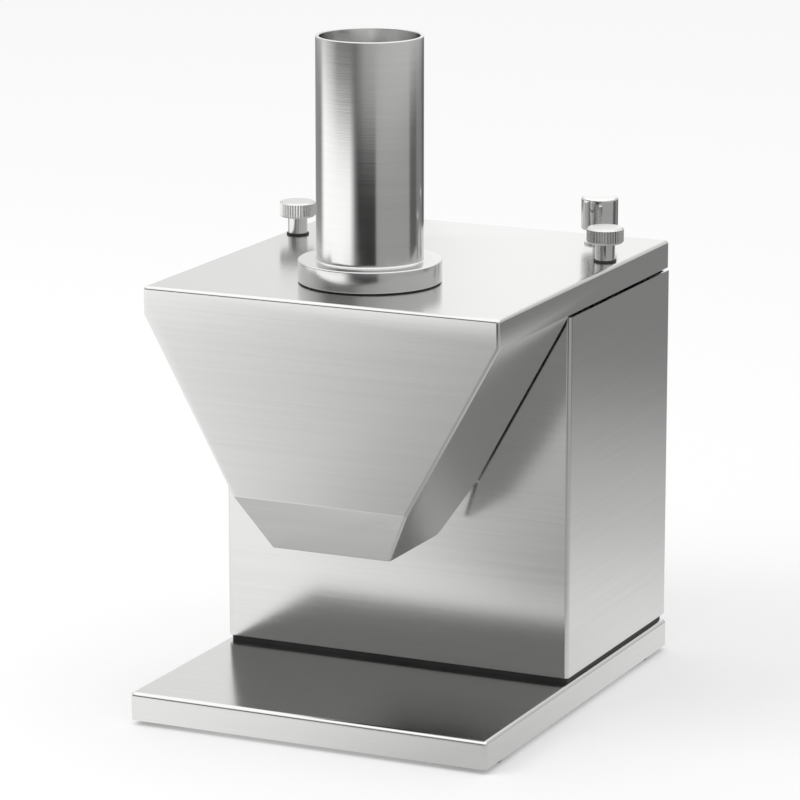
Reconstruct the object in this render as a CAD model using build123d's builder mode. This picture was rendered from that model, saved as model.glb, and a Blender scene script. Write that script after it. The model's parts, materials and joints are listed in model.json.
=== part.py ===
from build123d import *

import os
from math import acos, cos, pi, radians, sin, sqrt, tan

# Electric sausage slicer with a sickle blade, a gear motor and a lift-off lid with its hood.
# Millimetres. +Z is up, the front faces -Y, and the origin is on the floor under the middle of the base.

os.makedirs("parts", exist_ok=True)

# General sheet and fits
run_fit = 0.05
screw_fit = 0.1
small_gap = 0.3

# Base tray and feet
foot_proud = 3.0
base_width = 220.0
base_depth = 268.5
base_skirt = 16.1
base_sheet = 1.5
base_bend = 2.5
base_bottom = foot_proud
base_top = base_bottom + base_skirt
foot_radius = 12.0
foot_inset_x = 14.0
foot_inset_y = 26.0
foot_taper = 1.0
foot_stud_radius = 2.5
foot_stud_end = 4.0
foot_recess = 8.5

# Motor housing
house_inset = 1.75
house_width = base_width - 2 * house_inset
house_front = -15.6
house_rear = 134.0
house_sheet = 1.5
house_bend = 2.5
house_height = 209.8
seal_height = 3.0
seal_width = 9.0
seal_inset = 1.3
house_bottom = base_top + seal_height
house_top = house_bottom + house_height
bottom_flange = 12.0
rear_flange = 14.0
house_inner_x = house_width / 2 - house_sheet
house_inner_front = house_front + house_sheet
house_screw_radius = 2.5
house_screw_end = 20.0
rear_screw_end = 54.0
house_screw_head = 4.6
house_screw_head_height = 2.6
nut_height = 4.0
nut_radius = 4.6
small_key = 1.6
large_key = 2.0
key_depth = 1.0
countersunk_key = 0.7

# Rear cover
cover_sheet = 1.5
cover_edge_gap = 0.25
cover_recess = 0.1
cover_outer = house_rear - cover_recess
cover_inner = cover_outer - cover_sheet
cover_screw_radius = 2.0
cover_screw_head = 3.4
cover_screw_length = 8.0
cover_nut_radius = 3.9
cover_nut_height = 3.2
cover_screw_top = 42.0
cover_screw_bottom = 22.0
vent_width = 3.0
vent_length = 44.0
vent_pitch = 9.0
vent_count = 9
vent_drop = 31.9
vent_top = house_top - vent_drop
vent_column = 30.0

# Top deck under the blade
deck_drop = 19.9
deck_top = house_top - deck_drop
deck_sheet = 2.0
deck_lip = 10.0
stud_spare = 2.0
spacer_step = 1.5
deck_edge_gap = 0.1
deck_bottom = deck_top - deck_sheet
front_land = 14.25
front_notch = house_width / 2 - front_land

# Lid with hood
lid_gap = 1.9
lid_flange = 16.2
lid_sheet = 2.0
lid_width = house_width
lid_front = -115.5
lid_rear = house_rear
lid_bend = 2.0
lid_bottom = house_top + lid_gap
lid_top = lid_bottom + lid_flange
lid_under = lid_top - lid_sheet
chin_drop = 98.4
chin_height = 31.3
chin_z = lid_bottom - chin_drop
mouth_z = chin_z - chin_height
mouth_half = 36.35
mouth_front = -100.8
hood_gap = 3.2
hood_back = house_front - hood_gap
hood_cut_rise = 26.9
hood_cut_z = mouth_z + hood_cut_rise
mouth_back = -36.0
hood_corner = 6.0
hood_overrun = 1.0
hood_slope = (lid_width / 2 - mouth_half) / (lid_bottom - mouth_z)

# Feed tube and collar
tube_radius = 30.15
tube_wall = 2.0
tube_stand = 138.6
tube_top = lid_top + tube_stand
tube_blade_gap = 2.0
tube_rim = 0.6
collar_radius = 40.45
collar_height = 12.0
collar_edge = 0.8
gasket_height = 0.7
gasket_inset = 1.0
collar_screw_circle = 70.6
collar_screw_count = 4
collar_screw_radius = 2.0
collar_screw_head = 3.6
collar_screw_head_height = 2.2
collar_screw_depth = 9.0

# Thumb screws and the posts that they enter
thumb_inset = 10.25
thumb_x = lid_width / 2 - thumb_inset
thumb_y = 59.0
thumb_head_radius = 10.7
thumb_head_height = 9.0
thumb_head_edge = 1.0
thumb_neck_radius = 5.75
thumb_neck_height = 9.8
thumb_ring_height = 1.0
thumb_ring_radius = 6.6
thumb_thread_radius = 4.0
thumb_engaged = 11.25
post_radius = 6.0
post_bore_extra = 4.0
pin_inset = 8.25
pin_x = lid_width / 2 - pin_inset
pin_y = -5.0
pin_radius = 4.0
pin_edge = 0.8

# Push knob over the lid switch
knob_inset_x = 33.75
knob_inset_y = 25.9
knob_x = lid_width / 2 - knob_inset_x
knob_y = lid_rear - knob_inset_y
knob_radius = 10.75
knob_low = 8.3
knob_height = 19.3
knob_edge = 1.6
knob_stem_radius = 4.0
knob_travel = 4.0
bush_radius = 7.5
bush_flange_radius = 9.0
bush_flange_height = 1.2
bush_length = 22.0
bush_wall = 1.1
bush_end = 3.0
stem_shoulder = 2.0
stem_out = 4.0
stem_tip = 1.0
stem_into_head = 8.0
bush_nut_radius = 11.5
spring_wire = 0.45
spring_turns = 6.0
boot_radius = 6.0
boot_height = 5.7
boot_lip = 1.5

# Blade rotor
axis_y = 20.0
blade_sheet = 2.0
blade_drop = 0.9
blade_low = house_top - blade_drop
blade_side_gap = 8.75
blade_rear_gap = 2.9
blade_cover = 1.25
blade_heel = (2.0, -11.0)
blade_belly = (3.0, -5.0)
blade_neck = (-5.0, -4.7)
blade_grind = 8.0
blade_edge = 0.4
hub_deck_gap = 4.5
hub_low = deck_top + hub_deck_gap
hub_radius = 14.0
shaft_seat_radius = 6.0
shaft_seal_radius = 7.0
shaft_thread_radius = 4.0
shaft_thread_height = 12.0
shaft_end = 1.5
shaft_edge = 0.8
drive_pin_radius = 2.0
drive_pin_circle = 9.5
blade_nut_radius = 13.0
blade_nut_height = 9.0
blade_nut_edge = 0.6
scallop_count = 8
scallop_radius = 3.0
scallop_out = 1.5
spiral_start = 195.0
spiral_end = -12.0
spiral_inner = 30.0
spiral_points = 8
pusher_sheet = 2.5
pusher_gap = 1.0
pusher_inset = 2.0
pusher_bow = 52.0
pusher_back = 3.0
pusher_weld = 0.5
seal_ring_radius = 14.0
seal_ring_height = 7.0
seal_ring_proud = 3.5
seal_ring_edge = 1.0

# Slice stop below the tube
slice_length = 15.5
stop_top = blade_low - slice_length
stop_sheet = 2.0
stop_width = 50.0
stop_leg_y = -95.0
stop_foot = 14.0
stop_end_y = -21.0
stop_stud_x = 15.0
stop_stud_radius = 2.5
stop_stud_length = 11.0

# Gear train
pressure_angle = 25.0
tooth_backlash = 0.16
second_module = 1.25
second_pinion_teeth = 16
second_wheel_teeth = 44
first_module = 1.0
first_pinion_teeth = 16
first_wheel_teeth = 48
second_wheel_width = 11.0
first_wheel_width = 8.0
wheel_layer_gap = 3.0
layer_rim_gap = 5.0
layer_floor_gap = 2.0
middle_y = axis_y + second_module * (second_pinion_teeth + second_wheel_teeth) / 2
motor_y = middle_y + first_module * (first_pinion_teeth + first_wheel_teeth) / 2
middle_shaft_radius = 5.0
motor_shaft_radius = 4.0
output_hole_circle = 36.4
output_hole_radius = 4.2
wheel_hole_circle = 31.0
wheel_hole_radius = 3.6
wheel_hole_count = 6
pinion_side = 1.0
wheel_hub_gap = 1.2
wheel_rim_gap = 0.5

# Gear case
case_floor = 7.0
case_deck_gap = 2.0
case_cover = 6.0
case_wall = 3.0
case_tooth_gap = 1.25
case_shaft_gap = 2.0
motor_land = 34.0
bearing_height = 8.0
upper_bearing_radius = 14.0
lower_bearing_radius = 13.0
bearing_ring = 2.4
bearing_lip = 1.0
bearing_clear = 3.0
boss_wall = 3.0
bush_bearing_radius = 8.0
case_stud_radius = 2.5
case_stud_x = 39.0
case_stud_front = axis_y
case_stud_rear = 84.0
case_lug_radius = 7.0
cover_bolt_radius = 2.0
cover_bolt_head = 3.6
cover_bolt_head_height = 1.6
cover_bolt_depth = 11.0
cover_bolt_spare = 1.0
cover_boss_radius = 4.8
cover_bolt_front = (25.0, -24.0)
cover_bolt_middle = (35.0, 32.0)
cover_bolt_rear = (17.0, 26.5)
bush_height = 5.4
upper_bush_height = 4.0
gear_hub_radius = 11.0
wheel_hub_radius = 9.0
gear_hub_gap = 0.2
gear_hub_out = 1.5

# Motor
motor_radius = 40.0
motor_square = 74.0
motor_corner = 14.0
bell_height = 22.0
stator_height = 52.0
bell_edge = 3.0
bell_slot_count = 8
bell_slot_width = 3.0
bell_slot_length = 30.0
bell_cavity_radius = 27.0
bell_end_wall = 5.0
bell_boss_radius = 11.5
rotor_radius = 24.0
air_gap = 0.4
motor_bush_height = 8.0
tie_circle = 62.0
tie_radius = 2.0
tie_count = 4
tie_into_case = 5.5
tie_spare = 0.5
tie_head = 3.4
tie_head_height = 2.6
diagonal = 45.0
fan_radius = 33.0
fan_height = 10.0
fan_blade_count = 7
fan_blade_sheet = 2.0
fan_hub_radius = 9.0
fan_cover_height = 16.0
fan_cover_sheet = 1.5
fan_cover_radius = 38.0
fan_disc = 1.5
fan_blade_in = 5.5
fan_blade_out = 32.5
fan_blade_lean = 12.0
fan_gap = 1.2
fan_slot_length = 18.0
fan_slot_width = 3.5
fan_slot_count = 8

# Electrical pieces
inlet_inset = 44.75
inlet_x = inlet_inset - house_inner_x
inlet_rise = 39.9
inlet_z = house_bottom + inlet_rise
inlet_flange_width = 50.0
inlet_flange_height = 26.0
inlet_flange_sheet = 2.5
inlet_body_width = 30.0
inlet_body_height = 22.0
inlet_body_depth = 24.0
inlet_mouth_width = 24.6
inlet_mouth_height = 17.0
inlet_mouth_depth = 17.0
inlet_mouth_cut = 4.5
inlet_pin_width = 2.0
inlet_pin_height = 4.0
inlet_pin_pitch = 7.0
inlet_pin_offset = 2.0
inlet_screw_pitch = 40.0
inlet_screw_radius = 1.5
inlet_screw_length = 6.0
inlet_play = 0.5
inlet_pin_back = 1.5
inlet_corner = 3.0
capacitor_radius = 18.0
capacitor_height = 70.0
capacitor_inset = 34.75
capacitor_x = capacitor_inset - house_inner_x
capacitor_y = 40.0
capacitor_edge = 1.5
capacitor_tab_pitch = 12.0
capacitor_tab_width = 6.3
capacitor_tab_sheet = 0.8
capacitor_tab_height = 8.0
clamp_height = 12.0
clamp_sheet = 1.2
clamp_tab = 8.0
clamp_plate = 28.0
terminal_inset = 44.75
terminal_x = house_inner_x - terminal_inset
terminal_y = 60.0
terminal_poles = 5
terminal_pitch = 10.0
terminal_depth = 22.0
terminal_height = 18.0
terminal_hole = 1.9
terminal_slot = 1.5
switch_width = 28.0
switch_depth = 10.4
switch_height = 16.0
switch_bracket_sheet = 1.5
switch_pin_radius = 1.6
switch_pin_length = 2.5
switch_edge = 1.0
switch_tab_width = 4.8
switch_tab_sheet = 0.8
switch_tab_length = 6.0
switch_tab_pitch = 9.0
switch_bracket_reach = 14.0

# Worked out from the values above
blade_reach = min(house_inner_x - blade_side_gap, cover_inner - house_sheet - axis_y - blade_rear_gap)
pusher_reach = blade_reach - pusher_inset
tube_bore_radius = tube_radius - tube_wall
tube_y = axis_y + tube_bore_radius + blade_cover - blade_reach
case_rim = deck_bottom - case_deck_gap - case_cover
first_layer = case_rim - layer_rim_gap - first_wheel_width
second_layer = first_layer - wheel_layer_gap - second_wheel_width
case_low = second_layer - layer_floor_gap - case_floor
motor_top = case_low
motor_bottom = motor_top - 2 * bell_height - stator_height
post_top = lid_under
thumb_shank_low = lid_under - thumb_engaged
hub_height = blade_low - hub_low
blade_top = blade_low + blade_sheet
tube_bottom = blade_top + tube_blade_gap
stop_low = stop_top - stop_sheet
bush_low = lid_under - bush_length
chamber_low = bush_low + bush_end
stem_shoulder_low = lid_under - bush_end - stem_shoulder
stem_low = bush_low - stem_out
boot_top = deck_top + boot_height


def plane_at_y(y):
    """Upright plane across the machine at the depth y, looking from the front."""
    return Plane.XZ.offset(-y)


def finish(piece, label):
    """Name a finished piece and write it under that name."""
    piece.part.label = label
    export_step(piece.part, f"parts/{label}.step")


def round_screws(planes, shank, length, head, head_height, key=0.0):
    """Round headed screws whose heads sit on the planes and whose shanks run against the normals."""
    with BuildPart() as screws:
        for plane in planes:
            with BuildSketch(plane):
                Circle(head)
            extrude(amount=head_height)
            with BuildSketch(plane):
                Circle(shank)
            extrude(amount=-length)
            if key:
                with BuildSketch(plane.offset(head_height)):
                    RegularPolygon(key, 6)
                extrude(amount=-head_height / 2, mode=Mode.SUBTRACT)
    return screws


def hex_nuts(planes, across, bore, height):
    """Hexagon nuts that stand on the planes."""
    with BuildPart() as nuts:
        for plane in planes:
            with BuildSketch(plane):
                RegularPolygon(across, 6)
                Circle(bore, mode=Mode.SUBTRACT)
            extrude(amount=height)
    return nuts


def circle_planes(centre_y, circle, count, height):
    """Planes that face down, evenly placed on a circle around an upright axis on the middle plane."""
    angles = [radians(diagonal + 360 / count * i) for i in range(count)]
    return [Plane((circle / 2 * cos(a), centre_y + circle / 2 * sin(a), height), z_dir=(0, 0, -1))
            for a in angles]


def tube_ring(centre, low, height, outer, inner):
    """Plain ring around a vertical axis."""
    with BuildPart() as ring:
        with BuildSketch(Plane.XY.offset(low)):
            with Locations(centre):
                Circle(outer)
                Circle(inner, mode=Mode.SUBTRACT)
        extrude(amount=height)
    return ring


# Base tray: a folded plate with a skirt on all four sides, open below
foot_x = base_width / 2 - foot_inset_x
foot_y = base_depth / 2 - foot_inset_y
plate_under = base_top - base_sheet
house_screw_x = house_inner_x - bottom_flange / 2
house_screw_y = (house_front + house_screw_end, house_rear - rear_screw_end)
house_screw_places = [(side * house_screw_x, y) for side in (-1, 1) for y in house_screw_y]

with BuildPart() as base_tray:
    with BuildSketch(Plane.XY.offset(base_bottom)):
        Rectangle(base_width, base_depth)
    extrude(amount=base_skirt)
    top_edges = base_tray.faces().sort_by(Axis.Z)[-1].edges()
    corner_edges = base_tray.edges().filter_by(Axis.Z)
    fillet([*top_edges, *corner_edges], base_bend)
    with BuildSketch(Plane.XY.offset(base_bottom)):
        RectangleRounded(base_width - 2 * base_sheet, base_depth - 2 * base_sheet, base_bend - base_sheet / 2)
    extrude(amount=base_skirt - base_sheet, mode=Mode.SUBTRACT)
    with BuildSketch(Plane.XY.offset(base_top)):
        with Locations(*house_screw_places):
            Circle(house_screw_radius + screw_fit)
    extrude(amount=-base_sheet, mode=Mode.SUBTRACT)
    with BuildSketch(Plane.XY.offset(plate_under)):
        with GridLocations(2 * foot_x, 2 * foot_y, 2, 2):
            Circle(foot_stud_radius)
    extrude(amount=foot_stud_end - plate_under)
finish(base_tray, "base_tray")

# Feet: moulded rubber buffers on the base plate's studs, filling the skirt's height and standing proud below
foot_places = [(side_x * foot_x, side_y * foot_y) for side_x in (-1, 1) for side_y in (-1, 1)]
with BuildPart() as feet:
    for foot_place in foot_places:
        with BuildSketch(Plane.XY):
            with Locations(foot_place):
                Circle(foot_radius - foot_taper)
        with BuildSketch(Plane.XY.offset(plate_under)):
            with Locations(foot_place):
                Circle(foot_radius)
        loft()
        with BuildSketch(Plane.XY):
            with Locations(foot_place):
                Circle(nut_radius + small_gap)
        extrude(amount=foot_recess, mode=Mode.SUBTRACT)
        with BuildSketch(Plane.XY):
            with Locations(foot_place):
                Circle(foot_stud_radius + screw_fit)
        extrude(amount=plate_under, mode=Mode.SUBTRACT)
finish(feet, "feet")
foot_nuts = hex_nuts([Plane((x, y, foot_recess), z_dir=(0, 0, -1)) for x, y in foot_places],
                     nut_radius, foot_stud_radius + run_fit, nut_height)
finish(foot_nuts, "foot_nuts")

# Seal strip between the base and the housing
house_middle_y = (house_front + house_rear) / 2
house_middle_z = (house_bottom + house_top) / 2
house_depth = house_rear - house_front
seal_x = house_width - 2 * seal_inset
seal_y = house_depth - 2 * seal_inset
with BuildPart() as base_seal:
    with BuildSketch(Plane.XY.offset(base_top)):
        with Locations((0, house_middle_y)):
            RectangleRounded(seal_x, seal_y, house_bend)
            Rectangle(seal_x - 2 * seal_width, seal_y - 2 * seal_width, mode=Mode.SUBTRACT)
        with Locations(*house_screw_places):
            Circle(house_screw_radius + screw_fit, mode=Mode.SUBTRACT)
    extrude(amount=seal_height)
finish(base_seal, "base_seal")

# Motor housing: front and sides folded from one sheet, with flanges turned in below and behind
flange_face = cover_inner
rear_screw_z = (house_bottom + cover_screw_bottom, house_middle_z, house_top - cover_screw_top)
rear_screw_x = house_inner_x - rear_flange / 2
rear_screw_places = [(side * rear_screw_x, z) for side in (-1, 1) for z in rear_screw_z]
with BuildPart() as motor_housing:
    with BuildSketch(Plane.XY.offset(house_bottom)):
        with Locations((0, house_middle_y)):
            Rectangle(house_width, house_depth)
    extrude(amount=house_height)
    front_corners = motor_housing.edges().filter_by(Axis.Z).group_by(Axis.Y)[0]
    fillet(front_corners, house_bend)
    with BuildSketch(Plane.XY.offset(house_bottom + house_sheet)):
        with Locations((0, house_middle_y + house_sheet)):
            Rectangle(2 * house_inner_x, house_depth)
    extrude(amount=house_height, mode=Mode.SUBTRACT)
    inner_corners = motor_housing.edges().filter_by(Axis.Z).filter_by_position(
        Axis.Y, house_inner_front - small_gap, house_inner_front + small_gap)
    fillet(inner_corners, house_bend - house_sheet)
    with BuildSketch(Plane.XY.offset(house_bottom)):
        with Locations((0, house_middle_y)):
            Rectangle(2 * (house_inner_x - bottom_flange), house_depth - 2 * bottom_flange)
        with Locations((0, house_rear)):
            Rectangle(2 * (house_inner_x - bottom_flange), 2 * bottom_flange)
    extrude(amount=house_sheet, mode=Mode.SUBTRACT)
    with BuildSketch(plane_at_y(flange_face)):
        for side in (-1, 1):
            with Locations((side * rear_screw_x, house_middle_z)):
                Rectangle(rear_flange, house_height)
    extrude(amount=house_sheet)
    with BuildSketch(Plane.XY.offset(house_bottom)):
        with Locations((0, (house_rear + flange_face) / 2)):
            Rectangle(2 * house_inner_x, house_rear - flange_face)
    extrude(amount=house_sheet, mode=Mode.SUBTRACT)
    with BuildSketch(plane_at_y(house_front)):
        with Locations((0, house_top)):
            Rectangle(2 * front_notch, 2 * (house_top - deck_top))
    extrude(amount=-house_sheet, mode=Mode.SUBTRACT)
    with BuildSketch(Plane.XY.offset(house_bottom)):
        with Locations(*house_screw_places):
            Circle(house_screw_radius + screw_fit)
    extrude(amount=house_sheet, mode=Mode.SUBTRACT)
    with BuildSketch(plane_at_y(flange_face)):
        with Locations(*rear_screw_places):
            Circle(cover_screw_radius + screw_fit)
    extrude(amount=house_sheet, mode=Mode.SUBTRACT)
finish(motor_housing, "motor_housing")

# Screws from below the base into nuts on the housing's bottom flange
plate_under_planes = [Plane((x, y, plate_under), z_dir=(0, 0, -1)) for x, y in house_screw_places]
house_screw_length = base_sheet + seal_height + house_sheet + nut_height
housing_screws = round_screws(plate_under_planes, house_screw_radius, house_screw_length,
                              house_screw_head, house_screw_head_height, large_key)
finish(housing_screws, "housing_screws")

# Rear cover: a flat plate that lies in the housing's rear opening, with vent slots and the inlet opening
cover_width = 2 * (house_inner_x - cover_edge_gap)
cover_height = house_height - 2 * cover_edge_gap
cover_planes = [Plane((x, cover_outer, z), z_dir=(0, 1, 0)) for x, z in rear_screw_places]
inlet_screw_places = [(inlet_x + side * inlet_screw_pitch / 2, inlet_z) for side in (-1, 1)]
inlet_planes = [Plane((x, cover_outer, z), z_dir=(0, 1, 0)) for x, z in inlet_screw_places]
with BuildPart() as rear_cover:
    with BuildSketch(plane_at_y(cover_outer)):
        with Locations((0, house_middle_z)):
            Rectangle(cover_width, cover_height)
        for column in (-1, 1):
            with Locations((column * vent_column, vent_top - vent_pitch * (vent_count - 1) / 2)):
                with GridLocations(1, vent_pitch, 1, vent_count):
                    SlotOverall(vent_length, vent_width, mode=Mode.SUBTRACT)
        with Locations((inlet_x, inlet_z)):
            Rectangle(inlet_mouth_width + 2 * inlet_play, inlet_mouth_height + 2 * inlet_play,
                      mode=Mode.SUBTRACT)
    extrude(amount=cover_sheet)
    with Locations(*cover_planes):
        CounterSinkHole(cover_screw_radius + screw_fit, cover_screw_head, depth=cover_sheet)
    with Locations(*inlet_planes):
        CounterSinkHole(inlet_screw_radius + screw_fit, 2 * inlet_screw_radius, depth=cover_sheet)
finish(rear_cover, "rear_cover")


def countersunk_screws(planes, shank, length, head):
    """Countersunk screws whose flat heads lie in the planes, point against the normals."""
    with BuildPart() as screws:
        for plane in planes:
            with BuildSketch(plane):
                Circle(head - run_fit)
            with BuildSketch(plane.offset(-(head - shank))):
                Circle(shank - run_fit)
            loft()
            with BuildSketch(plane):
                Circle(shank - run_fit)
            extrude(amount=-length)
            with BuildSketch(plane):
                RegularPolygon(shank * countersunk_key, 6)
            extrude(amount=-key_depth, mode=Mode.SUBTRACT)
    return screws


with BuildPart() as rear_cover_screws:
    add(countersunk_screws(cover_planes, cover_screw_radius, cover_screw_length, cover_screw_head).part)
    add(countersunk_screws(inlet_planes, inlet_screw_radius, inlet_screw_length, 2 * inlet_screw_radius).part)
finish(rear_cover_screws, "rear_cover_screws")

# Insert nuts on the housing's flanges: larger ones below for the base screws, smaller ones behind
with BuildPart() as housing_nuts:
    flange_top_planes = [Plane((x, y, house_bottom + house_sheet)) for x, y in house_screw_places]
    add(hex_nuts(flange_top_planes, nut_radius, house_screw_radius + run_fit, nut_height).part)
    flange_back = flange_face - house_sheet
    flange_back_planes = [Plane((x, flange_back, z), z_dir=(0, -1, 0)) for x, z in rear_screw_places]
    add(hex_nuts(flange_back_planes, cover_nut_radius, cover_screw_radius + run_fit, cover_nut_height).part)
finish(housing_nuts, "housing_nuts")

# Top deck: closes the housing under the blade, sides and rear turned down, with studs for the gear cover
deck_front = house_inner_front + deck_edge_gap
deck_rear = flange_face - house_sheet - deck_edge_gap
deck_half = house_inner_x - deck_edge_gap
deck_middle_y = (deck_front + deck_rear) / 2
case_stud_places = [(side * case_stud_x, y) for side in (-1, 1) for y in (case_stud_front, case_stud_rear)]
with BuildPart() as top_deck:
    with BuildSketch(Plane.XY.offset(deck_top)):
        with Locations((0, deck_middle_y)):
            RectangleRounded(2 * deck_half, deck_rear - deck_front, house_bend - house_sheet)
    extrude(amount=-(deck_lip + deck_sheet))
    with BuildSketch(Plane.XY.offset(deck_bottom)):
        with Locations((0, deck_middle_y - deck_sheet)):
            Rectangle(2 * (deck_half - deck_sheet), deck_rear - deck_front)
    extrude(amount=-deck_lip, mode=Mode.SUBTRACT)
    with BuildSketch(Plane.XY.offset(deck_top)):
        with Locations((0, axis_y)):
            Circle(seal_ring_radius + run_fit)
        with Locations((knob_x, knob_y)):
            Circle(boot_radius / 2 + run_fit)
    extrude(amount=-deck_sheet, mode=Mode.SUBTRACT)
    with BuildSketch(Plane.XY.offset(deck_bottom)):
        with Locations(*case_stud_places):
            Circle(case_stud_radius)
    extrude(amount=-(deck_bottom - case_rim + nut_height + stud_spare))
    with BuildSketch(Plane.XY.offset(deck_bottom)):
        with Locations(*case_stud_places):
            Circle(case_lug_radius - spacer_step)
    extrude(amount=-(deck_bottom - case_rim - case_cover))
finish(top_deck, "top_deck")

# Threaded posts that take the thumb screws, and plain pins that carry the lid's front
post_height = post_top - deck_top
thumb_places = [(-thumb_x, thumb_y), (thumb_x, thumb_y)]
with BuildPart() as lid_posts:
    with BuildSketch(Plane.XY.offset(deck_top)):
        with Locations(*thumb_places):
            Circle(post_radius)
    extrude(amount=post_height)
    with BuildSketch(Plane.XY.offset(post_top)):
        with Locations(*thumb_places):
            Circle(thumb_thread_radius + run_fit)
    extrude(amount=-(thumb_engaged + post_bore_extra), mode=Mode.SUBTRACT)
finish(lid_posts, "lid_posts")

with BuildPart() as lid_rest_pins:
    with BuildSketch(Plane.XY.offset(deck_top)):
        with Locations((-pin_x, pin_y), (pin_x, pin_y)):
            Circle(pin_radius)
    extrude(amount=post_height)
    fillet(lid_rest_pins.faces().group_by(Axis.Z)[-1].edges(), pin_edge)
finish(lid_rest_pins, "lid_rest_pins")

# Shaft seal pressed into the deck around the blade shaft
with BuildPart() as shaft_seal:
    with BuildSketch(Plane.XY.offset(deck_top + seal_ring_proud)):
        with Locations((0, axis_y)):
            Circle(seal_ring_radius)
            Circle(shaft_seal_radius + run_fit, mode=Mode.SUBTRACT)
    extrude(amount=-seal_ring_height + deck_sheet / 2)
    fillet(shaft_seal.faces().sort_by(Axis.Z)[-1].edges().sort_by(SortBy.LENGTH)[-1], seal_ring_edge)
finish(shaft_seal, "shaft_seal")


def hood_block(inset, overrun):
    """Closed block of lid and hood: each wall moved in by inset, each open side moved out by overrun."""
    half = lid_width / 2 - inset
    low = mouth_z - overrun
    back = hood_back + overrun
    front = lid_front + inset
    side_length = sqrt(1 + hood_slope ** 2)
    knee = lid_bottom + inset * (side_length - 1) / hood_slope
    low_half = lid_width / 2 - (lid_bottom - low) * hood_slope - inset * side_length
    chin_slope = (mouth_front - lid_front) / (chin_z - mouth_z)
    chin_length = sqrt(1 + chin_slope ** 2)
    chin_knee = chin_z + inset * (chin_length - 1) / chin_slope
    chin_low = lid_front + (chin_z - low) * chin_slope + inset * chin_length
    top = lid_top - inset
    with BuildPart() as hood:
        with BuildSketch(plane_at_y(front)):
            with BuildLine():
                Polyline((-half, knee), (-half, top), (half, top), (half, knee),
                         (low_half, low), (-low_half, low), close=True)
            make_face()
        extrude(amount=-(back - front))
        with BuildSketch(Plane.YZ):
            with BuildLine() as outline:
                Polyline((front, chin_knee), (front, top), (back, top))
                if overrun:
                    Polyline((back, top), (back, low), (chin_low, low), (front, chin_knee))
                else:
                    FilletPolyline((back, top), (back, hood_cut_z), (mouth_back, low),
                                   (chin_low, low), (front, chin_knee), radius=[hood_corner, hood_corner, 0])
            make_face()
        extrude(amount=lid_width, both=True, mode=Mode.INTERSECT)
        with BuildSketch(Plane.XY.offset(top)):
            with Locations((0, (lid_front + lid_rear) / 2)):
                Rectangle(2 * half, lid_rear - lid_front - 2 * inset)
        extrude(amount=-(top - lid_bottom + overrun))
    return hood


# Lid and hood: one stainless weldment, flat on top, flanged at the sides and rear, hood open below
stud_places = [(side * stop_stud_x, stop_leg_y - stop_foot / 2) for side in (-1, 1)]
with BuildPart() as lid_hood:
    add(hood_block(0, 0).part)
    bends = lid_hood.edges().filter_by(
        lambda e: e.center().Z > mouth_z + lid_sheet and (
            e.center().Z > lid_top - small_gap
            or (e.center().Y > lid_rear - small_gap and abs(e.center().X) > lid_width / 2 - small_gap)
            or (e.center().Y < mouth_front and abs(e.center().Z - lid_bottom) > lid_sheet)))
    fillet(bends, lid_bend)
    add(hood_block(lid_sheet, hood_overrun).part, mode=Mode.SUBTRACT)
    with BuildSketch(Plane.XY.offset(lid_top)):
        with Locations((0, tube_y)):
            Circle(tube_radius + screw_fit)
            with PolarLocations(collar_screw_circle / 2, collar_screw_count, start_angle=diagonal):
                Circle(collar_screw_radius + screw_fit)
        with Locations(*thumb_places):
            Circle(thumb_thread_radius + small_gap)
        with Locations((knob_x, knob_y)):
            Circle(bush_radius + run_fit)
    extrude(amount=-lid_sheet, mode=Mode.SUBTRACT)
    with BuildSketch(Plane.XY.offset(lid_under)):
        with Locations(*stud_places):
            Circle(stop_stud_radius)
    extrude(amount=-stop_stud_length)
finish(lid_hood, "lid_hood")

# Feed tube: stands on the lid, runs down through it to just above the blade, with a bevelled rim
with BuildPart() as feed_tube:
    with BuildSketch(plane_at_y(tube_y)):
        with BuildLine():
            Polyline((tube_bore_radius, tube_bottom), (tube_radius, tube_bottom),
                     (tube_radius, tube_top - tube_rim), (tube_radius - tube_rim, tube_top),
                     (tube_bore_radius + tube_rim, tube_top),
                     (tube_bore_radius, tube_top - tube_rim), close=True)
        make_face()
    revolve(axis=Axis((0, tube_y, 0), (0, 0, 1)))
finish(feed_tube, "feed_tube")

# Collar that clamps the tube to the lid, and the gasket under it
collar_low = lid_top + gasket_height
collar_top = collar_low + collar_height
with BuildPart() as tube_collar:
    with BuildSketch(Plane.XY.offset(collar_low)):
        with Locations((0, tube_y)):
            Circle(collar_radius)
            Circle(tube_radius + run_fit, mode=Mode.SUBTRACT)
    extrude(amount=collar_height)
    chamfer(tube_collar.edges().filter_by(GeomType.CIRCLE).sort_by(SortBy.RADIUS)[-2:], collar_edge)
    with BuildSketch(Plane.XY.offset(collar_low)):
        with Locations((0, tube_y)):
            with PolarLocations(collar_screw_circle / 2, collar_screw_count, start_angle=diagonal):
                Circle(collar_screw_radius + run_fit)
    extrude(amount=collar_screw_depth + small_gap, mode=Mode.SUBTRACT)
finish(tube_collar, "tube_collar")

with BuildPart() as collar_gasket:
    with BuildSketch(Plane.XY.offset(lid_top)):
        with Locations((0, tube_y)):
            Circle(collar_radius - gasket_inset)
            Circle(tube_radius + run_fit, mode=Mode.SUBTRACT)
            with PolarLocations(collar_screw_circle / 2, collar_screw_count, start_angle=diagonal):
                Circle(collar_screw_radius + screw_fit, mode=Mode.SUBTRACT)
    extrude(amount=gasket_height)
finish(collar_gasket, "collar_gasket")

collar_planes = circle_planes(tube_y, collar_screw_circle, collar_screw_count, lid_under)
collar_screw_length = lid_sheet + gasket_height + collar_screw_depth
collar_screws = round_screws(collar_planes, collar_screw_radius, collar_screw_length,
                             collar_screw_head, collar_screw_head_height, small_key)
finish(collar_screws, "collar_screws")

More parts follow.
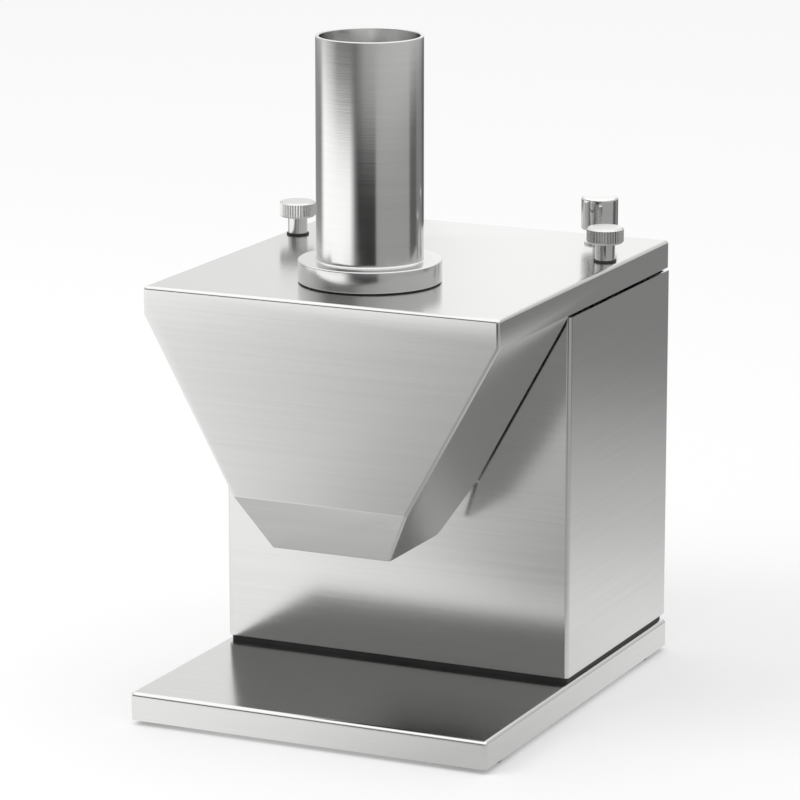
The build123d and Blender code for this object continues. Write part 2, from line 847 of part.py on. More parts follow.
# Slice stop: bent sheet under the tube, hung from two studs below the lid
with BuildPart() as slice_stop:
    with BuildSketch(Plane.YZ):
        with BuildLine():
            Polyline((stop_leg_y - stop_foot, lid_under), (stop_leg_y, lid_under), (stop_leg_y, stop_top),
                     (stop_end_y, stop_top), (stop_end_y, stop_low), (stop_leg_y - stop_sheet, stop_low),
                     (stop_leg_y - stop_sheet, lid_under - stop_sheet),
                     (stop_leg_y - stop_foot, lid_under - stop_sheet), close=True)
        make_face()
    extrude(amount=stop_width / 2, both=True)
    tongue_corners = slice_stop.edges().filter_by(Axis.Z).group_by(Axis.Y)[-1]
    fillet(tongue_corners, stop_width / 2 - small_gap)
    with BuildSketch(Plane.XY.offset(lid_under)):
        with Locations(*stud_places):
            Circle(stop_stud_radius + screw_fit)
    extrude(amount=-stop_sheet, mode=Mode.SUBTRACT)
finish(slice_stop, "slice_stop")

stop_nut_planes = [Plane((x, y, lid_under - stop_sheet), z_dir=(0, 0, -1)) for x, y in stud_places]
stop_nuts = hex_nuts(stop_nut_planes, nut_radius, stop_stud_radius + run_fit, nut_height)
finish(stop_nuts, "stop_nuts")

# Thumb screws with tall round heads on a neck, and the rings that they clamp on the lid
neck_low = lid_top + thumb_ring_height
head_low = neck_low + thumb_neck_height
for side, side_name in ((-1, "left"), (1, "right")):
    place = (side * thumb_x, thumb_y)
    ring_bore = thumb_thread_radius + run_fit
    thumb_ring = tube_ring(place, lid_top, thumb_ring_height, thumb_ring_radius, ring_bore)
    finish(thumb_ring, f"thumb_ring_{side_name}")
    with BuildPart() as thumb_screw:
        for low, high, radius in ((thumb_shank_low, neck_low, thumb_thread_radius),
                                  (neck_low, head_low, thumb_neck_radius),
                                  (head_low, head_low + thumb_head_height, thumb_head_radius)):
            with BuildSketch(Plane.XY.offset(low)):
                with Locations(place):
                    Circle(radius)
            extrude(amount=high - low)
        head_rims = thumb_screw.edges().filter_by(GeomType.CIRCLE).filter_by(
            lambda e: abs(e.radius - thumb_head_radius) < small_gap)
        chamfer(head_rims, thumb_head_edge)
    finish(thumb_screw, f"thumb_screw_{side_name}")

# Push knob: polished head on a stem with a shoulder, in a flanged bush below the lid
knob_place = (knob_x, knob_y)
knob_head_low = lid_top + knob_low
with BuildPart() as start_knob:
    with BuildSketch(Plane.XY.offset(knob_head_low)):
        with Locations(knob_place):
            Circle(knob_radius)
    extrude(amount=knob_height)
    chamfer(start_knob.edges(), knob_edge)
    with BuildSketch(Plane.XY.offset(knob_head_low)):
        with Locations(knob_place):
            Circle(knob_stem_radius + run_fit)
    extrude(amount=stem_into_head, mode=Mode.SUBTRACT)
finish(start_knob, "start_knob")

chamber_radius = bush_radius - bush_wall
chamber_top = stem_shoulder_low + stem_shoulder
with BuildPart() as knob_stem:
    with BuildSketch(Plane.XY.offset(stem_low)):
        with Locations(knob_place):
            Circle(knob_stem_radius)
    extrude(amount=knob_head_low + stem_into_head - stem_low)
    with BuildSketch(Plane.XY.offset(stem_shoulder_low)):
        with Locations(knob_place):
            Circle(chamber_radius - small_gap)
    extrude(amount=stem_shoulder)
    chamfer(knob_stem.faces().sort_by(Axis.Z)[0].edges(), stem_tip)
finish(knob_stem, "knob_stem")

with BuildPart() as knob_bush:
    with BuildSketch(Plane.XY.offset(bush_low)):
        with Locations(knob_place):
            Circle(bush_radius)
    extrude(amount=lid_top + bush_flange_height - bush_low)
    with BuildSketch(Plane.XY.offset(lid_top)):
        with Locations(knob_place):
            Circle(bush_flange_radius)
    extrude(amount=bush_flange_height)
    with BuildSketch(Plane.XY.offset(bush_low)):
        with Locations(knob_place):
            Circle(knob_stem_radius + run_fit)
    extrude(amount=lid_top + bush_flange_height - bush_low, mode=Mode.SUBTRACT)
    with BuildSketch(Plane.XY.offset(chamber_low)):
        with Locations(knob_place):
            Circle(chamber_radius)
    extrude(amount=chamber_top - chamber_low, mode=Mode.SUBTRACT)
finish(knob_bush, "knob_bush")
bush_nut = hex_nuts([Plane((*knob_place, lid_under), z_dir=(0, 0, -1))],
                    bush_nut_radius, bush_radius + run_fit, nut_height)
finish(bush_nut, "bush_nut")

# Return spring in the bush, between its lower end and the stem's shoulder
spring_radius = (chamber_radius + knob_stem_radius) / 2
spring_height = stem_shoulder_low - chamber_low - 2 * spring_wire - 2 * run_fit
with BuildPart() as knob_spring:
    with BuildLine(Plane((*knob_place, chamber_low + spring_wire + run_fit))):
        coil = Helix(spring_height / spring_turns, spring_height, spring_radius)
    with BuildSketch(Plane(coil @ 0, z_dir=coil % 0)):
        Circle(spring_wire)
    sweep(is_frenet=True)
finish(knob_spring, "knob_spring")

# Switch under the deck that the knob's stem presses through a rubber boot
with BuildPart() as switch_boot:
    for low, high, radius in ((deck_top, boot_top, boot_radius),
                              (deck_bottom - boot_lip, deck_top, boot_radius / 2),
                              (deck_bottom - boot_lip, deck_bottom, boot_radius / 2 + boot_lip)):
        with BuildSketch(Plane.XY.offset(low)):
            with Locations(knob_place):
                Circle(radius)
        extrude(amount=high - low)
    fillet(switch_boot.faces().sort_by(Axis.Z)[-1].edges(), boot_radius / 2)
finish(switch_boot, "switch_boot")

switch_top = deck_bottom - boot_lip - switch_pin_length
switch_low = switch_top - switch_height
with BuildPart() as lid_switch:
    with BuildSketch(Plane.XY.offset(switch_low)):
        with Locations(knob_place):
            Rectangle(switch_width, switch_depth)
    extrude(amount=switch_height)
    chamfer(lid_switch.edges().filter_by(Axis.Y), switch_edge)
    with BuildSketch(Plane.XY.offset(switch_top)):
        with Locations(knob_place):
            Circle(switch_pin_radius)
    extrude(amount=switch_pin_length - small_gap)
    with BuildSketch(Plane.XY.offset(switch_low)):
        with Locations(knob_place):
            with GridLocations(switch_tab_pitch, 1, 3, 1):
                Rectangle(switch_tab_width, switch_tab_sheet)
    extrude(amount=-switch_tab_length)
finish(lid_switch, "lid_switch")

with BuildPart() as switch_bracket:
    with BuildSketch(Plane.YZ.offset(knob_x - switch_width / 2)):
        with BuildLine():
            near = knob_y + switch_depth / 2 + run_fit
            far = near + switch_bracket_reach
            Polyline((near, switch_low), (near, deck_bottom), (far, deck_bottom),
                     (far, deck_bottom - switch_bracket_sheet),
                     (near + switch_bracket_sheet, deck_bottom - switch_bracket_sheet),
                     (near + switch_bracket_sheet, switch_low), close=True)
        make_face()
    extrude(amount=switch_width)
finish(switch_bracket, "switch_bracket")

# Blade shaft: stepped, with a threaded end for the blade nut
bearing_low = case_low + case_floor - bearing_height
upper_bearing_low = case_rim + case_cover - bearing_height
shaft_steps = (
    (bearing_low - shaft_end, upper_bearing_low - bearing_lip, shaft_seat_radius),
    (upper_bearing_low - bearing_lip, hub_low, shaft_seal_radius),
    (hub_low, blade_low - small_gap, shaft_seat_radius),
    (blade_low - small_gap, blade_low + shaft_thread_height, shaft_thread_radius),
)
with BuildPart() as blade_shaft:
    for low, high, radius in shaft_steps:
        with BuildSketch(Plane.XY.offset(low)):
            with Locations((0, axis_y)):
                Circle(radius)
        extrude(amount=high - low)
    chamfer(blade_shaft.faces().sort_by(Axis.Z)[-1].edges(), shaft_edge)
finish(blade_shaft, "blade_shaft")

# Blade hub with two drive pins that enter the blade
with BuildPart() as blade_hub:
    with BuildSketch(Plane.XY.offset(hub_low)):
        with Locations((0, axis_y)):
            Circle(hub_radius)
            Circle(shaft_seat_radius + run_fit, mode=Mode.SUBTRACT)
    extrude(amount=hub_height)
    with BuildSketch(Plane.XY.offset(blade_low)):
        with Locations((-drive_pin_circle, axis_y), (drive_pin_circle, axis_y)):
            Circle(drive_pin_radius)
    extrude(amount=blade_sheet - run_fit)
finish(blade_hub, "blade_hub")


def blade_outline(inset):
    """Outline of the blade, its spiral cutting edge drawn in by an inset."""
    edge_points = []
    for i in range(spiral_points):
        share = i / (spiral_points - 1)
        angle = radians(spiral_start + (spiral_end - spiral_start) * share)
        reach = spiral_inner + (blade_reach - spiral_inner) * share - inset
        edge_points.append((reach * cos(angle), axis_y + reach * sin(angle)))
    heel = (hub_radius + blade_heel[0], axis_y + blade_heel[1])
    belly = (blade_reach / 2 + blade_belly[0], axis_y + blade_belly[1])
    under_hub = (blade_neck[0], axis_y - hub_radius + blade_neck[1])
    Spline(*edge_points)
    ThreePointArc(edge_points[-1], belly, heel)
    ThreePointArc(heel, under_hub, edge_points[0])


# Sickle blade: its ground edge is a spiral whose reach grows against the turn, parked to the rear
with BuildPart() as cutting_blade:
    with BuildSketch(Plane.XY.offset(blade_low)):
        with BuildLine():
            blade_outline(0)
        make_face()
    extrude(amount=blade_edge)
    with BuildSketch(Plane.XY.offset(blade_low + blade_edge)):
        with BuildLine():
            blade_outline(0)
        make_face()
    with BuildSketch(Plane.XY.offset(blade_top)):
        with BuildLine():
            blade_outline(blade_grind)
        make_face()
    loft()
    with BuildSketch(Plane.XY.offset(blade_low)):
        with Locations((0, axis_y)):
            Circle(shaft_thread_radius + screw_fit)
        with Locations((-drive_pin_circle, axis_y), (drive_pin_circle, axis_y)):
            Circle(drive_pin_radius + screw_fit)
    extrude(amount=blade_sheet, mode=Mode.SUBTRACT)
finish(cutting_blade, "cutting_blade")

# Pusher behind the blade's trailing side: an upright curved wall that sweeps slices off the stop
with BuildPart() as slice_pusher:
    with BuildSketch(Plane.XY.offset(stop_top + pusher_gap)):
        with BuildLine():
            end_angle = radians(spiral_end)
            tip = (pusher_reach * cos(end_angle), axis_y + pusher_reach * sin(end_angle))
            root = (hub_radius - pusher_weld, axis_y - pusher_back)
            middle = (pusher_bow, axis_y - pusher_back)
            ThreePointArc(root, middle, tip)
            Line(tip, (tip[0], tip[1] + pusher_sheet))
            ThreePointArc((tip[0], tip[1] + pusher_sheet), (middle[0], middle[1] + pusher_sheet),
                          (root[0], root[1] + pusher_sheet))
            Line((root[0], root[1] + pusher_sheet), root)
        make_face()
        with Locations((0, axis_y)):
            Circle(hub_radius + run_fit, mode=Mode.SUBTRACT)
    extrude(amount=blade_low - run_fit - stop_top - pusher_gap)
finish(slice_pusher, "slice_pusher")

# Blade nut: a round hand nut with scallops
with BuildPart() as blade_nut:
    with BuildSketch(Plane.XY.offset(blade_top)):
        with Locations((0, axis_y)):
            Circle(blade_nut_radius)
            Circle(shaft_thread_radius + run_fit, mode=Mode.SUBTRACT)
            with PolarLocations(blade_nut_radius + scallop_out, scallop_count):
                Circle(scallop_radius, mode=Mode.SUBTRACT)
    extrude(amount=blade_nut_height)
    nut_rims = blade_nut.faces().sort_by(Axis.Z)[-1].edges().filter_by(GeomType.CIRCLE)
    chamfer(nut_rims.sort_by(SortBy.RADIUS)[-1:], blade_nut_edge)
finish(blade_nut, "blade_nut")


def involute(angle):
    """Roll of an involute at a pressure angle."""
    return tan(angle) - angle


def polar(centre_y, radius, angle):
    """Point at a radius and an angle around a shaft on the middle plane."""
    return (radius * cos(angle), centre_y + radius * sin(angle))


def gear_line(teeth, module, centre_y, phase):
    """Closed outline of a spur gear with involute flanks, a tooth centred on the phase angle."""
    pitch = module * teeth / 2
    base = pitch * cos(radians(pressure_angle))
    tip = pitch + module
    root = pitch - 1.25 * module
    pitch_half = (pi * module / 2 - tooth_backlash) / (2 * pitch)

    def half_at(radius):
        pressure = acos(min(1.0, base / radius))
        return pitch_half + involute(radians(pressure_angle)) - involute(pressure)

    for i in range(teeth):
        angle = radians(phase) + 2 * pi * i / teeth
        after = angle + 2 * pi / teeth
        rising = [polar(centre_y, r, angle - half_at(r)) for r in (root, pitch, tip)]
        falling = [polar(centre_y, r, angle + half_at(r)) for r in (tip, pitch, root)]
        ThreePointArc(*rising)
        Line(rising[-1], falling[0])
        ThreePointArc(*falling)
        Line(falling[-1], polar(centre_y, root, after - half_at(root)))


def spur_gear(teeth, module, centre_y, phase, low, width):
    """Toothed disc of a spur gear around an upright shaft on the middle plane."""
    with BuildPart() as gear:
        with BuildSketch(Plane.XY.offset(low)):
            with BuildLine():
                gear_line(teeth, module, centre_y, phase)
            make_face()
        extrude(amount=width)
    return gear


second_phase = 270.0 + 180.0 / second_pinion_teeth
first_phase = 270.0 + 180.0 / first_pinion_teeth
case_floor_top = case_low + case_floor
second_top = second_layer + second_wheel_width
output_hub_low = case_floor_top + gear_hub_gap

# Output gear on the blade shaft, with a hub and lightening holes
with BuildPart() as output_gear:
    add(spur_gear(second_wheel_teeth, second_module, axis_y, 90.0, second_layer, second_wheel_width).part)
    with BuildSketch(Plane.XY.offset(output_hub_low)):
        with Locations((0, axis_y)):
            Circle(gear_hub_radius)
    extrude(amount=second_top + gear_hub_out - output_hub_low)
    with BuildSketch(Plane.XY.offset(output_hub_low)):
        with Locations((0, axis_y)):
            Circle(shaft_seat_radius + run_fit)
            with PolarLocations(output_hole_circle / 2, wheel_hole_count):
                Circle(output_hole_radius)
    extrude(amount=second_top + gear_hub_out - output_hub_low, mode=Mode.SUBTRACT)
finish(output_gear, "output_gear")

# Middle shaft with its pinion cut on it, and the wheel pressed on above
lower_bush_low = case_floor_top - bush_height
with BuildPart() as middle_pinion_shaft:
    add(spur_gear(second_pinion_teeth, second_module, middle_y, second_phase,
                  second_layer - pinion_side, second_wheel_width + 2 * pinion_side).part)
    with BuildSketch(Plane.XY.offset(lower_bush_low)):
        with Locations((0, middle_y)):
            Circle(middle_shaft_radius)
    extrude(amount=case_rim + upper_bush_height - lower_bush_low - small_gap)
finish(middle_pinion_shaft, "middle_pinion_shaft")

with BuildPart() as middle_wheel:
    add(spur_gear(first_wheel_teeth, first_module, middle_y, 90.0, first_layer, first_wheel_width).part)
    with BuildSketch(Plane.XY.offset(second_top + wheel_hub_gap)):
        with Locations((0, middle_y)):
            Circle(wheel_hub_radius)
    extrude(amount=case_rim - wheel_rim_gap - second_top - wheel_hub_gap)
    with BuildSketch(Plane.XY.offset(second_top)):
        with Locations((0, middle_y)):
            Circle(middle_shaft_radius + run_fit)
            with PolarLocations(wheel_hole_circle / 2, wheel_hole_count):
                Circle(wheel_hole_radius)
    extrude(amount=case_rim - second_top, mode=Mode.SUBTRACT)
finish(middle_wheel, "middle_wheel")

# Gear case: a cast pot around the train, with bearing seats and bosses for the cover bolts
cover_bolt_half = ((cover_bolt_front[0], axis_y + cover_bolt_front[1]),
                   (cover_bolt_middle[0], axis_y + cover_bolt_middle[1]),
                   (cover_bolt_rear[0], motor_y + cover_bolt_rear[1]))
cover_bolt_places = [(side * x, y) for side in (-1, 1) for x, y in cover_bolt_half]
case_radius = second_module * (second_wheel_teeth / 2 + 1) + case_tooth_gap
with BuildPart() as gear_case:
    with BuildSketch(Plane.XY.offset(case_low)):
        with Locations((0, axis_y)):
            Circle(case_radius + case_wall)
        with Locations((0, motor_y)):
            Circle(motor_land)
        make_hull()
        with Locations(*cover_bolt_places):
            Circle(cover_boss_radius)
    extrude(amount=case_rim - case_low)
    with BuildSketch(Plane.XY.offset(case_low - case_wall)):
        with Locations((0, axis_y)):
            Circle(lower_bearing_radius + boss_wall)
    extrude(amount=case_wall)
    with BuildSketch(Plane.XY.offset(case_floor_top)):
        with Locations((0, axis_y)):
            Circle(case_radius)
        with Locations((0, middle_y)):
            Circle(first_module * (first_wheel_teeth / 2 + 1) + case_tooth_gap)
        with Locations((0, motor_y)):
            Circle(first_module * (first_pinion_teeth / 2 + 1) + case_tooth_gap)
        make_hull()
    extrude(amount=case_rim - case_floor_top, mode=Mode.SUBTRACT)
    with BuildSketch(Plane.XY.offset(case_floor_top)):
        with Locations((0, axis_y)):
            Circle(lower_bearing_radius + run_fit)
    extrude(amount=-bearing_height, mode=Mode.SUBTRACT)
    with BuildSketch(Plane.XY.offset(case_floor_top)):
        with Locations((0, axis_y)):
            Circle(shaft_seat_radius + bearing_clear)
        with Locations((0, motor_y)):
            Circle(motor_shaft_radius + case_shaft_gap)
    extrude(amount=-(case_floor + case_wall), mode=Mode.SUBTRACT)
    with BuildSketch(Plane.XY.offset(case_floor_top)):
        with Locations((0, middle_y)):
            Circle(bush_bearing_radius + run_fit)
    extrude(amount=-bush_height, mode=Mode.SUBTRACT)
    with BuildSketch(Plane.XY.offset(case_rim)):
        with Locations(*cover_bolt_places):
            Circle(cover_bolt_radius + run_fit)
    extrude(amount=-(cover_bolt_depth + cover_bolt_spare), mode=Mode.SUBTRACT)
    with BuildSketch(Plane.XY.offset(case_low)):
        with Locations((0, motor_y)):
            with PolarLocations(tie_circle / 2, tie_count, start_angle=diagonal):
                Circle(tie_radius + run_fit)
    extrude(amount=tie_into_case + tie_spare, mode=Mode.SUBTRACT)
finish(gear_case, "gear_case")

# Gear cover: closes the case from above, holds the upper bearing and hangs from the deck's studs
with BuildPart() as gear_cover:
    with BuildSketch(Plane.XY.offset(case_rim)):
        with Locations((0, axis_y)):
            Circle(case_radius + case_wall)
        with Locations((0, motor_y)):
            Circle(motor_land)
        make_hull()
        with Locations(*cover_bolt_places):
            Circle(cover_boss_radius)
        with Locations(*case_stud_places):
            Circle(case_lug_radius)
    extrude(amount=case_cover)
    with BuildSketch(Plane.XY.offset(upper_bearing_low - bearing_lip)):
        with Locations((0, axis_y)):
            Circle(upper_bearing_radius + boss_wall)
    extrude(amount=case_rim - upper_bearing_low + bearing_lip)
    with BuildSketch(Plane.XY.offset(upper_bearing_low)):
        with Locations((0, axis_y)):
            Circle(upper_bearing_radius + run_fit)
    extrude(amount=bearing_height, mode=Mode.SUBTRACT)
    with BuildSketch(Plane.XY.offset(upper_bearing_low - bearing_lip)):
        with Locations((0, axis_y)):
            Circle(shaft_seal_radius + bearing_clear)
    extrude(amount=bearing_lip, mode=Mode.SUBTRACT)
    with BuildSketch(Plane.XY.offset(case_rim)):
        with Locations((0, middle_y)):
            Circle(bush_bearing_radius + run_fit)
    extrude(amount=upper_bush_height, mode=Mode.SUBTRACT)
    with BuildSketch(Plane.XY.offset(case_rim)):
        with Locations(*cover_bolt_places):
            Circle(cover_bolt_radius + screw_fit)
        with Locations(*case_stud_places):
            Circle(case_stud_radius + screw_fit)
    extrude(amount=case_cover, mode=Mode.SUBTRACT)
finish(gear_cover, "gear_cover")

cover_top = case_rim + case_cover
cover_bolt_planes = [Plane((x, y, cover_top)) for x, y in cover_bolt_places]
gear_cover_bolts = round_screws(cover_bolt_planes, cover_bolt_radius, case_cover + cover_bolt_depth,
                                cover_bolt_head, cover_bolt_head_height, small_key)
finish(gear_cover_bolts, "gear_cover_bolts")

# Nuts on the deck's studs, below the cover's lugs
case_nuts = hex_nuts([Plane((x, y, case_rim), z_dir=(0, 0, -1)) for x, y in case_stud_places],
                     nut_radius, case_stud_radius + run_fit, nut_height)
finish(case_nuts, "case_nuts")

# Bearings of the blade shaft: fixed outer rings with their shields, and inner rings that turn
with BuildPart() as bearing_outer_rings:
    for low, outer, inner in ((bearing_low, lower_bearing_radius, shaft_seat_radius),
                              (upper_bearing_low, upper_bearing_radius, shaft_seal_radius)):
        with BuildSketch(Plane.XY.offset(low)):
            with Locations((0, axis_y)):
                Circle(outer)
                Circle(inner + bearing_ring + 4 * run_fit, mode=Mode.SUBTRACT)
        extrude(amount=bearing_height)
finish(bearing_outer_rings, "bearing_outer_rings")

with BuildPart() as bearing_inner_rings:
    for low, inner in ((bearing_low, shaft_seat_radius), (upper_bearing_low, shaft_seal_radius)):
        with BuildSketch(Plane.XY.offset(low)):
            with Locations((0, axis_y)):
                Circle(inner + bearing_ring)
                Circle(inner + run_fit / 2, mode=Mode.SUBTRACT)
        extrude(amount=bearing_height)
finish(bearing_inner_rings, "bearing_inner_rings")

# Plain bushes of the middle shaft and the motor shaft
with BuildPart() as shaft_bushes:
    for low, height, y, radius in (
            (lower_bush_low, bush_height, middle_y, middle_shaft_radius),
            (case_rim, upper_bush_height, middle_y, middle_shaft_radius),
            (motor_top - motor_bush_height, motor_bush_height, motor_y, motor_shaft_radius),
            (motor_bottom, motor_bush_height, motor_y, motor_shaft_radius)):
        with BuildSketch(Plane.XY.offset(low)):
            with Locations((0, y)):
                Circle(bush_bearing_radius)
                Circle(radius + run_fit, mode=Mode.SUBTRACT)
        extrude(amount=height)
finish(shaft_bushes, "shaft_bushes")

# Motor: stator pack between two end bells, held by four long bolts
stator_low = motor_bottom + bell_height
stator_top = stator_low + stator_height
with BuildPart() as stator_pack:
    with BuildSketch(Plane.XY.offset(stator_low)):
        with Locations((0, motor_y)):
            RectangleRounded(motor_square, motor_square, motor_corner)
            Circle(rotor_radius + air_gap, mode=Mode.SUBTRACT)
            with PolarLocations(tie_circle / 2, tie_count, start_angle=diagonal):
                Circle(tie_radius + screw_fit, mode=Mode.SUBTRACT)
    extrude(amount=stator_height)
finish(stator_pack, "stator_pack")

bell_depth = bell_height - bell_end_wall
for bell_name, low, cavity_low, outer_face in (("upper", stator_top, stator_top, -1),
                                               ("lower", motor_bottom, stator_low - bell_depth, 0)):
    with BuildPart() as motor_bell:
        with BuildSketch(Plane.XY.offset(low)):
            with Locations((0, motor_y)):
                Circle(motor_radius)
        extrude(amount=bell_height)
        fillet(motor_bell.faces().sort_by(Axis.Z)[outer_face].edges(), bell_edge)
        with BuildSketch(Plane.XY.offset(cavity_low)):
            with Locations((0, motor_y)):
                Circle(bell_cavity_radius)
                Circle(bell_boss_radius, mode=Mode.SUBTRACT)
        extrude(amount=bell_depth, mode=Mode.SUBTRACT)
        with BuildSketch(Plane.XY.offset(low + bell_height / 2)):
            with Locations((0, motor_y)):
                with PolarLocations(motor_radius, bell_slot_count, start_angle=180 / bell_slot_count):
                    Rectangle(bell_slot_length, bell_slot_width)
        extrude(amount=bell_height / 4, both=True, mode=Mode.SUBTRACT)
        with BuildSketch(Plane.XY.offset(low)):
            with Locations((0, motor_y)):
                Circle(bush_bearing_radius + run_fit)
                with PolarLocations(tie_circle / 2, tie_count, start_angle=diagonal):
                    Circle(tie_radius + screw_fit)
        extrude(amount=bell_height, mode=Mode.SUBTRACT)
    finish(motor_bell, f"motor_{bell_name}_bell")

tie_planes = circle_planes(motor_y, tie_circle, tie_count, motor_bottom)
motor_tie_bolts = round_screws(tie_planes, tie_radius, motor_top - motor_bottom + tie_into_case,
                               tie_head, tie_head_height, small_key)
finish(motor_tie_bolts, "motor_tie_bolts")

# Motor rotor on its shaft, with the pinion above and the fan below
fan_low = motor_bottom - fan_cover_height + fan_cover_sheet + fan_gap
shaft_bottom = fan_low - fan_gap / 2
motor_pinion_low = first_layer - pinion_side / 2
motor_pinion_width = first_wheel_width + pinion_side
with BuildPart() as motor_shaft:
    with BuildSketch(Plane.XY.offset(shaft_bottom)):
        with Locations((0, motor_y)):
            Circle(motor_shaft_radius)
    extrude(amount=motor_pinion_low + motor_pinion_width + pinion_side - shaft_bottom)
finish(motor_shaft, "motor_shaft")

rotor_bore = motor_shaft_radius + run_fit / 2
motor_rotor = tube_ring((0, motor_y), stator_low, stator_height, rotor_radius, rotor_bore)
finish(motor_rotor, "motor_rotor")

with BuildPart() as motor_pinion:
    add(spur_gear(first_pinion_teeth, first_module, motor_y, first_phase,
                  motor_pinion_low, motor_pinion_width).part)
    with BuildSketch(Plane.XY.offset(motor_pinion_low)):
        with Locations((0, motor_y)):
            Circle(motor_shaft_radius + run_fit / 2)
    extrude(amount=motor_pinion_width, mode=Mode.SUBTRACT)
finish(motor_pinion, "motor_pinion")

with BuildPart() as cooling_fan:
    with BuildSketch(Plane.XY.offset(fan_low)):
        with Locations((0, motor_y)):
            Circle(fan_radius)
    extrude(amount=fan_disc)
    with BuildSketch(Plane.XY.offset(fan_low)):
        with Locations((0, motor_y)):
            Circle(fan_hub_radius)
            with PolarLocations((fan_blade_in + fan_blade_out) / 2, fan_blade_count):
                Rectangle(fan_blade_out - fan_blade_in, fan_blade_sheet, rotation=fan_blade_lean)
    extrude(amount=fan_height)
    with BuildSketch(Plane.XY.offset(fan_low)):
        with Locations((0, motor_y)):
            Circle(motor_shaft_radius + run_fit / 2)
    extrude(amount=fan_height, mode=Mode.SUBTRACT)
finish(cooling_fan, "cooling_fan")

with BuildPart() as fan_cover:
    with BuildSketch(Plane.XY.offset(motor_bottom - fan_cover_height)):
        with Locations((0, motor_y)):
            Circle(fan_cover_radius)
    extrude(amount=fan_cover_height)
    with BuildSketch(Plane.XY.offset(motor_bottom - fan_cover_height + fan_cover_sheet)):
        with Locations((0, motor_y)):
            Circle(fan_cover_radius - fan_cover_sheet)
    extrude(amount=fan_cover_height, mode=Mode.SUBTRACT)
    with BuildSketch(Plane.XY.offset(motor_bottom - fan_cover_height)):
        with Locations((0, motor_y)):
            with PolarLocations(fan_cover_radius / 2, fan_slot_count):
                SlotOverall(fan_slot_length, fan_slot_width)
    extrude(amount=fan_cover_sheet, mode=Mode.SUBTRACT)
finish(fan_cover, "fan_cover")

# Mains inlet fixed behind the rear cover, with its contacts in the mouth
with BuildPart() as power_inlet:
    with BuildSketch(plane_at_y(cover_inner)):
        with Locations((inlet_x, inlet_z)):
            RectangleRounded(inlet_flange_width, inlet_flange_height, inlet_corner)
    extrude(amount=inlet_flange_sheet)
    with BuildSketch(plane_at_y(cover_inner)):
        with Locations((inlet_x, inlet_z)):
            Rectangle(inlet_body_width, inlet_body_height)
    extrude(amount=inlet_body_depth)
    with BuildSketch(plane_at_y(cover_inner)) as mouth_sketch:
        with Locations((inlet_x, inlet_z)):
            Rectangle(inlet_mouth_width, inlet_mouth_height)
        chamfer(mouth_sketch.vertices().group_by(Axis.Y)[-1], inlet_mouth_cut)
    extrude(amount=inlet_mouth_depth, mode=Mode.SUBTRACT)
    with BuildSketch(plane_at_y(cover_inner - inlet_mouth_depth)):
        with Locations((inlet_x - inlet_pin_pitch, inlet_z - inlet_pin_offset),
                       (inlet_x, inlet_z + inlet_pin_offset),
                       (inlet_x + inlet_pin_pitch, inlet_z - inlet_pin_offset)):
            Rectangle(inlet_pin_width, inlet_pin_height)
    extrude(amount=-(inlet_mouth_depth - inlet_pin_back))
    with BuildSketch(plane_at_y(cover_inner)):
        with Locations(*inlet_screw_places):
            Circle(inlet_screw_radius + run_fit)
    extrude(amount=inlet_flange_sheet, mode=Mode.SUBTRACT)
finish(power_inlet, "power_inlet")

# Terminal block on the base plate
with BuildPart() as terminal_block:
    with BuildSketch(Plane.XY.offset(base_top)):
        with Locations((terminal_x, terminal_y)):
            Rectangle(terminal_poles * terminal_pitch, terminal_depth)
    extrude(amount=terminal_height)
    with BuildSketch(Plane.XY.offset(base_top + terminal_height)):
        with Locations((terminal_x, terminal_y)):
            with GridLocations(terminal_pitch, 1, terminal_poles - 1, 1):
                Rectangle(terminal_slot, terminal_depth)
            with GridLocations(terminal_pitch, terminal_depth / 2, terminal_poles, 2):
                Circle(terminal_hole)
    extrude(amount=-terminal_height / 2, mode=Mode.SUBTRACT)
finish(terminal_block, "terminal_block")

# Run capacitor standing on the base plate, with a clamp to the housing's side
with BuildPart() as run_capacitor:
    with BuildSketch(Plane.XY.offset(base_top)):
        with Locations((capacitor_x, capacitor_y)):
            Circle(capacitor_radius)
    extrude(amount=capacitor_height)
    fillet(run_capacitor.faces().sort_by(Axis.Z)[-1].edges(), capacitor_edge)
    with BuildSketch(Plane.XY.offset(base_top + capacitor_height)):
        with Locations((capacitor_x, capacitor_y)):
            with GridLocations(capacitor_tab_pitch, 1, 2, 1):
                Rectangle(capacitor_tab_sheet, capacitor_tab_width)
    extrude(amount=capacitor_tab_height)
finish(run_capacitor, "run_capacitor")

clamp_low = base_top + capacitor_height / 2
clamp_outer = capacitor_radius + run_fit + clamp_sheet
with BuildPart() as capacitor_clamp:
    with BuildSketch(Plane.XY.offset(clamp_low)):
        with Locations((capacitor_x, capacitor_y)):
            Circle(clamp_outer)
        with Locations(((capacitor_x - house_inner_x + run_fit) / 2, capacitor_y)):
            Rectangle(house_inner_x - run_fit + capacitor_x, clamp_tab)
    extrude(amount=clamp_height)
    with BuildSketch(Plane.XY.offset(clamp_low)):
        with Locations((capacitor_x, capacitor_y)):
            Circle(capacitor_radius + run_fit)
    extrude(amount=clamp_height, mode=Mode.SUBTRACT)
    with BuildSketch(Plane.YZ.offset(-house_inner_x + run_fit)):
        with Locations((capacitor_y, clamp_low + clamp_height / 2)):
            Rectangle(clamp_plate, clamp_height)
    extrude(amount=clamp_sheet)
finish(capacitor_clamp, "capacitor_clamp")
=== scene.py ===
"""Finish, small detail and studio of an electric sausage slicer, built around its fixed frame.

Metres. +Z is up, the front faces -Y, and the origin is on the floor under the middle of the base.
"""
import json
import logging
from dataclasses import dataclass
from enum import Enum
from math import atan2, pi, radians
from typing import Optional, Sequence, Union

